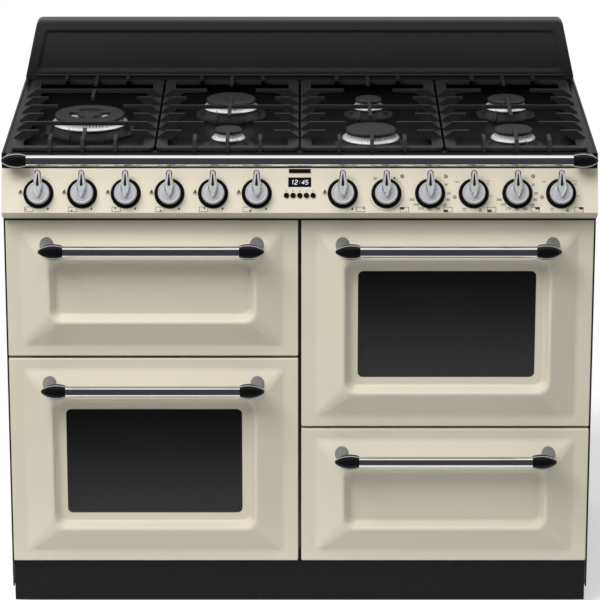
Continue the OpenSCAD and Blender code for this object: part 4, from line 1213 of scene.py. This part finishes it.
def floor_finish(s):
    """Pale paper whose edge fades out."""
    x, y, _ = s.axes(s.place())
    out = ((x * x) / 2.2 + (y * y) / 1.4) ** 0.5
    seen = s.node("ShaderNodeLightPath", output="Is Camera Ray")
    mirrored = s.node("ShaderNodeLightPath", output="Is Glossy Ray")
    far = s.mix((0 - y).above(0.58, 0.1), (0.85, 0.85, 0.85, 1), (0.05, 0.05, 0.05, 1))
    paper = s.mix(s.noise(3, 2), rgb(238, 238, 238), rgb(242, 242, 242))
    bounced = s.mix(mirrored, (0.72, 0.72, 0.72, 1), far)
    s.surface(
        Base_Color=s.mix(seen, bounced, paper), Roughness=0.9,
        Emission_Color=s.mix(seen, (0, 0, 0, 1), (1, 1, 1, 1)), Emission_Strength=0.35,
        Alpha=1 - out.above(0.85, 0.3))


class COOKER_OT_stage(bpy.types.Operator):
    """Pale floor, soft studio light and the camera"""

    bl_idname = "cooker.stage"
    bl_label = "Stage"

    def execute(self, context):
        scene = context.scene
        scene.view_settings.view_transform = "Standard"
        scene.world = bpy.data.worlds.new("studio")
        studio_world(scene.world)
        paper = bpy.data.materials.new("floor_finish")
        paper.use_nodes = True
        floor_finish(Sheet(paper.node_tree))
        mesh = bpy.data.meshes.new("floor")
        corners = [(-2, -1.6, -0.001), (2, -1.6, -0.001), (2, 2, -0.001), (-2, 2, -0.001)]
        mesh.from_pydata(corners, [], [(0, 1, 2, 3)])
        mesh.materials.append(paper)
        floor = bpy.data.objects.new("floor", mesh)
        scene.collection.objects.link(floor)
        for name, where, aim, size, power in (
                ("key", (-1.9, -2.45, 3.86), (0, -0.27, 0.55), 2.4, 160),
                ("fill", (2.6, -3.6, 1.6), (0, -0.2, 0.5), 2.4, 8),
                ("top", (0.2, -1.5, 3.7), (0, -0.2, 0.7), 2.2, 34),
                ("left_oven_lamp", (-0.27, -0.15, 0.43), (-0.27, 0.1, 0.2), 0.3, 0.5),
                ("right_oven_lamp", (0.27, -0.15, 0.70), (0.27, 0.1, 0.45), 0.3, 0.5)):
            lamp = bpy.data.lights.new(name, "AREA")
            lamp.size, lamp.energy, lamp.shape = size, power, "DISK"
            made = bpy.data.objects.new(name, lamp)
            made.location = where
            made.rotation_euler = (Vector(aim) - Vector(where)).to_track_quat("-Z", "Y").to_euler()
            made.visible_glossy = False
            scene.collection.objects.link(made)
        lens = bpy.data.cameras.new("camera")
        lens.lens, lens.sensor_width = 204.7, 36
        lens.clip_end = 60
        camera = bpy.data.objects.new("camera", lens)
        camera.location = (0.0005, -6.352, 2.5135)
        camera.rotation_euler = (math.radians(90 - CAMERA_DOWN), 0, 0)
        scene.collection.objects.link(camera)
        scene.camera = camera
        return {"FINISHED"}


STEPS = (
    COOKER_OT_carcass, COOKER_OT_doors, COOKER_OT_handles, COOKER_OT_knobs, COOKER_OT_control_panel,
    COOKER_OT_hob, COOKER_OT_burners, COOKER_OT_stage)


class COOKER_PT_panel(bpy.types.Panel):
    """Colours, sizes and the steps that build the cooker's looks"""

    bl_label = "Gas cooker"
    bl_idname = "COOKER_PT_panel"
    bl_space_type = "VIEW_3D"
    bl_region_type = "UI"
    bl_category = "Cooker"

    def draw(self, context):
        for heading, group in (("Colours", colours()), ("Sizes", sizes())):
            box = self.layout.box()
            box.label(text=heading)
            for name in group.__annotations__:
                box.prop(group, name)
        for step in STEPS:
            self.layout.operator(step.bl_idname)


CLASSES = (CookerColours, CookerSizes, *STEPS, COOKER_PT_panel)


def register():
    for made in CLASSES:
        bpy.utils.register_class(made)
    bpy.types.Scene.cooker_colours = PointerProperty(type=CookerColours)
    bpy.types.Scene.cooker_sizes = PointerProperty(type=CookerSizes)


def unregister():
    del bpy.types.Scene.cooker_colours
    del bpy.types.Scene.cooker_sizes
    for made in reversed(CLASSES):
        bpy.utils.unregister_class(made)


def main():
    register()
    bpy.ops.cooker.carcass()
    bpy.ops.cooker.doors()
    bpy.ops.cooker.handles()
    bpy.ops.cooker.knobs()
    bpy.ops.cooker.control_panel()
    bpy.ops.cooker.hob()
    bpy.ops.cooker.burners()
    bpy.ops.cooker.stage()
    bpy.context.view_layer.update()


if __name__ == "__main__":
    main()
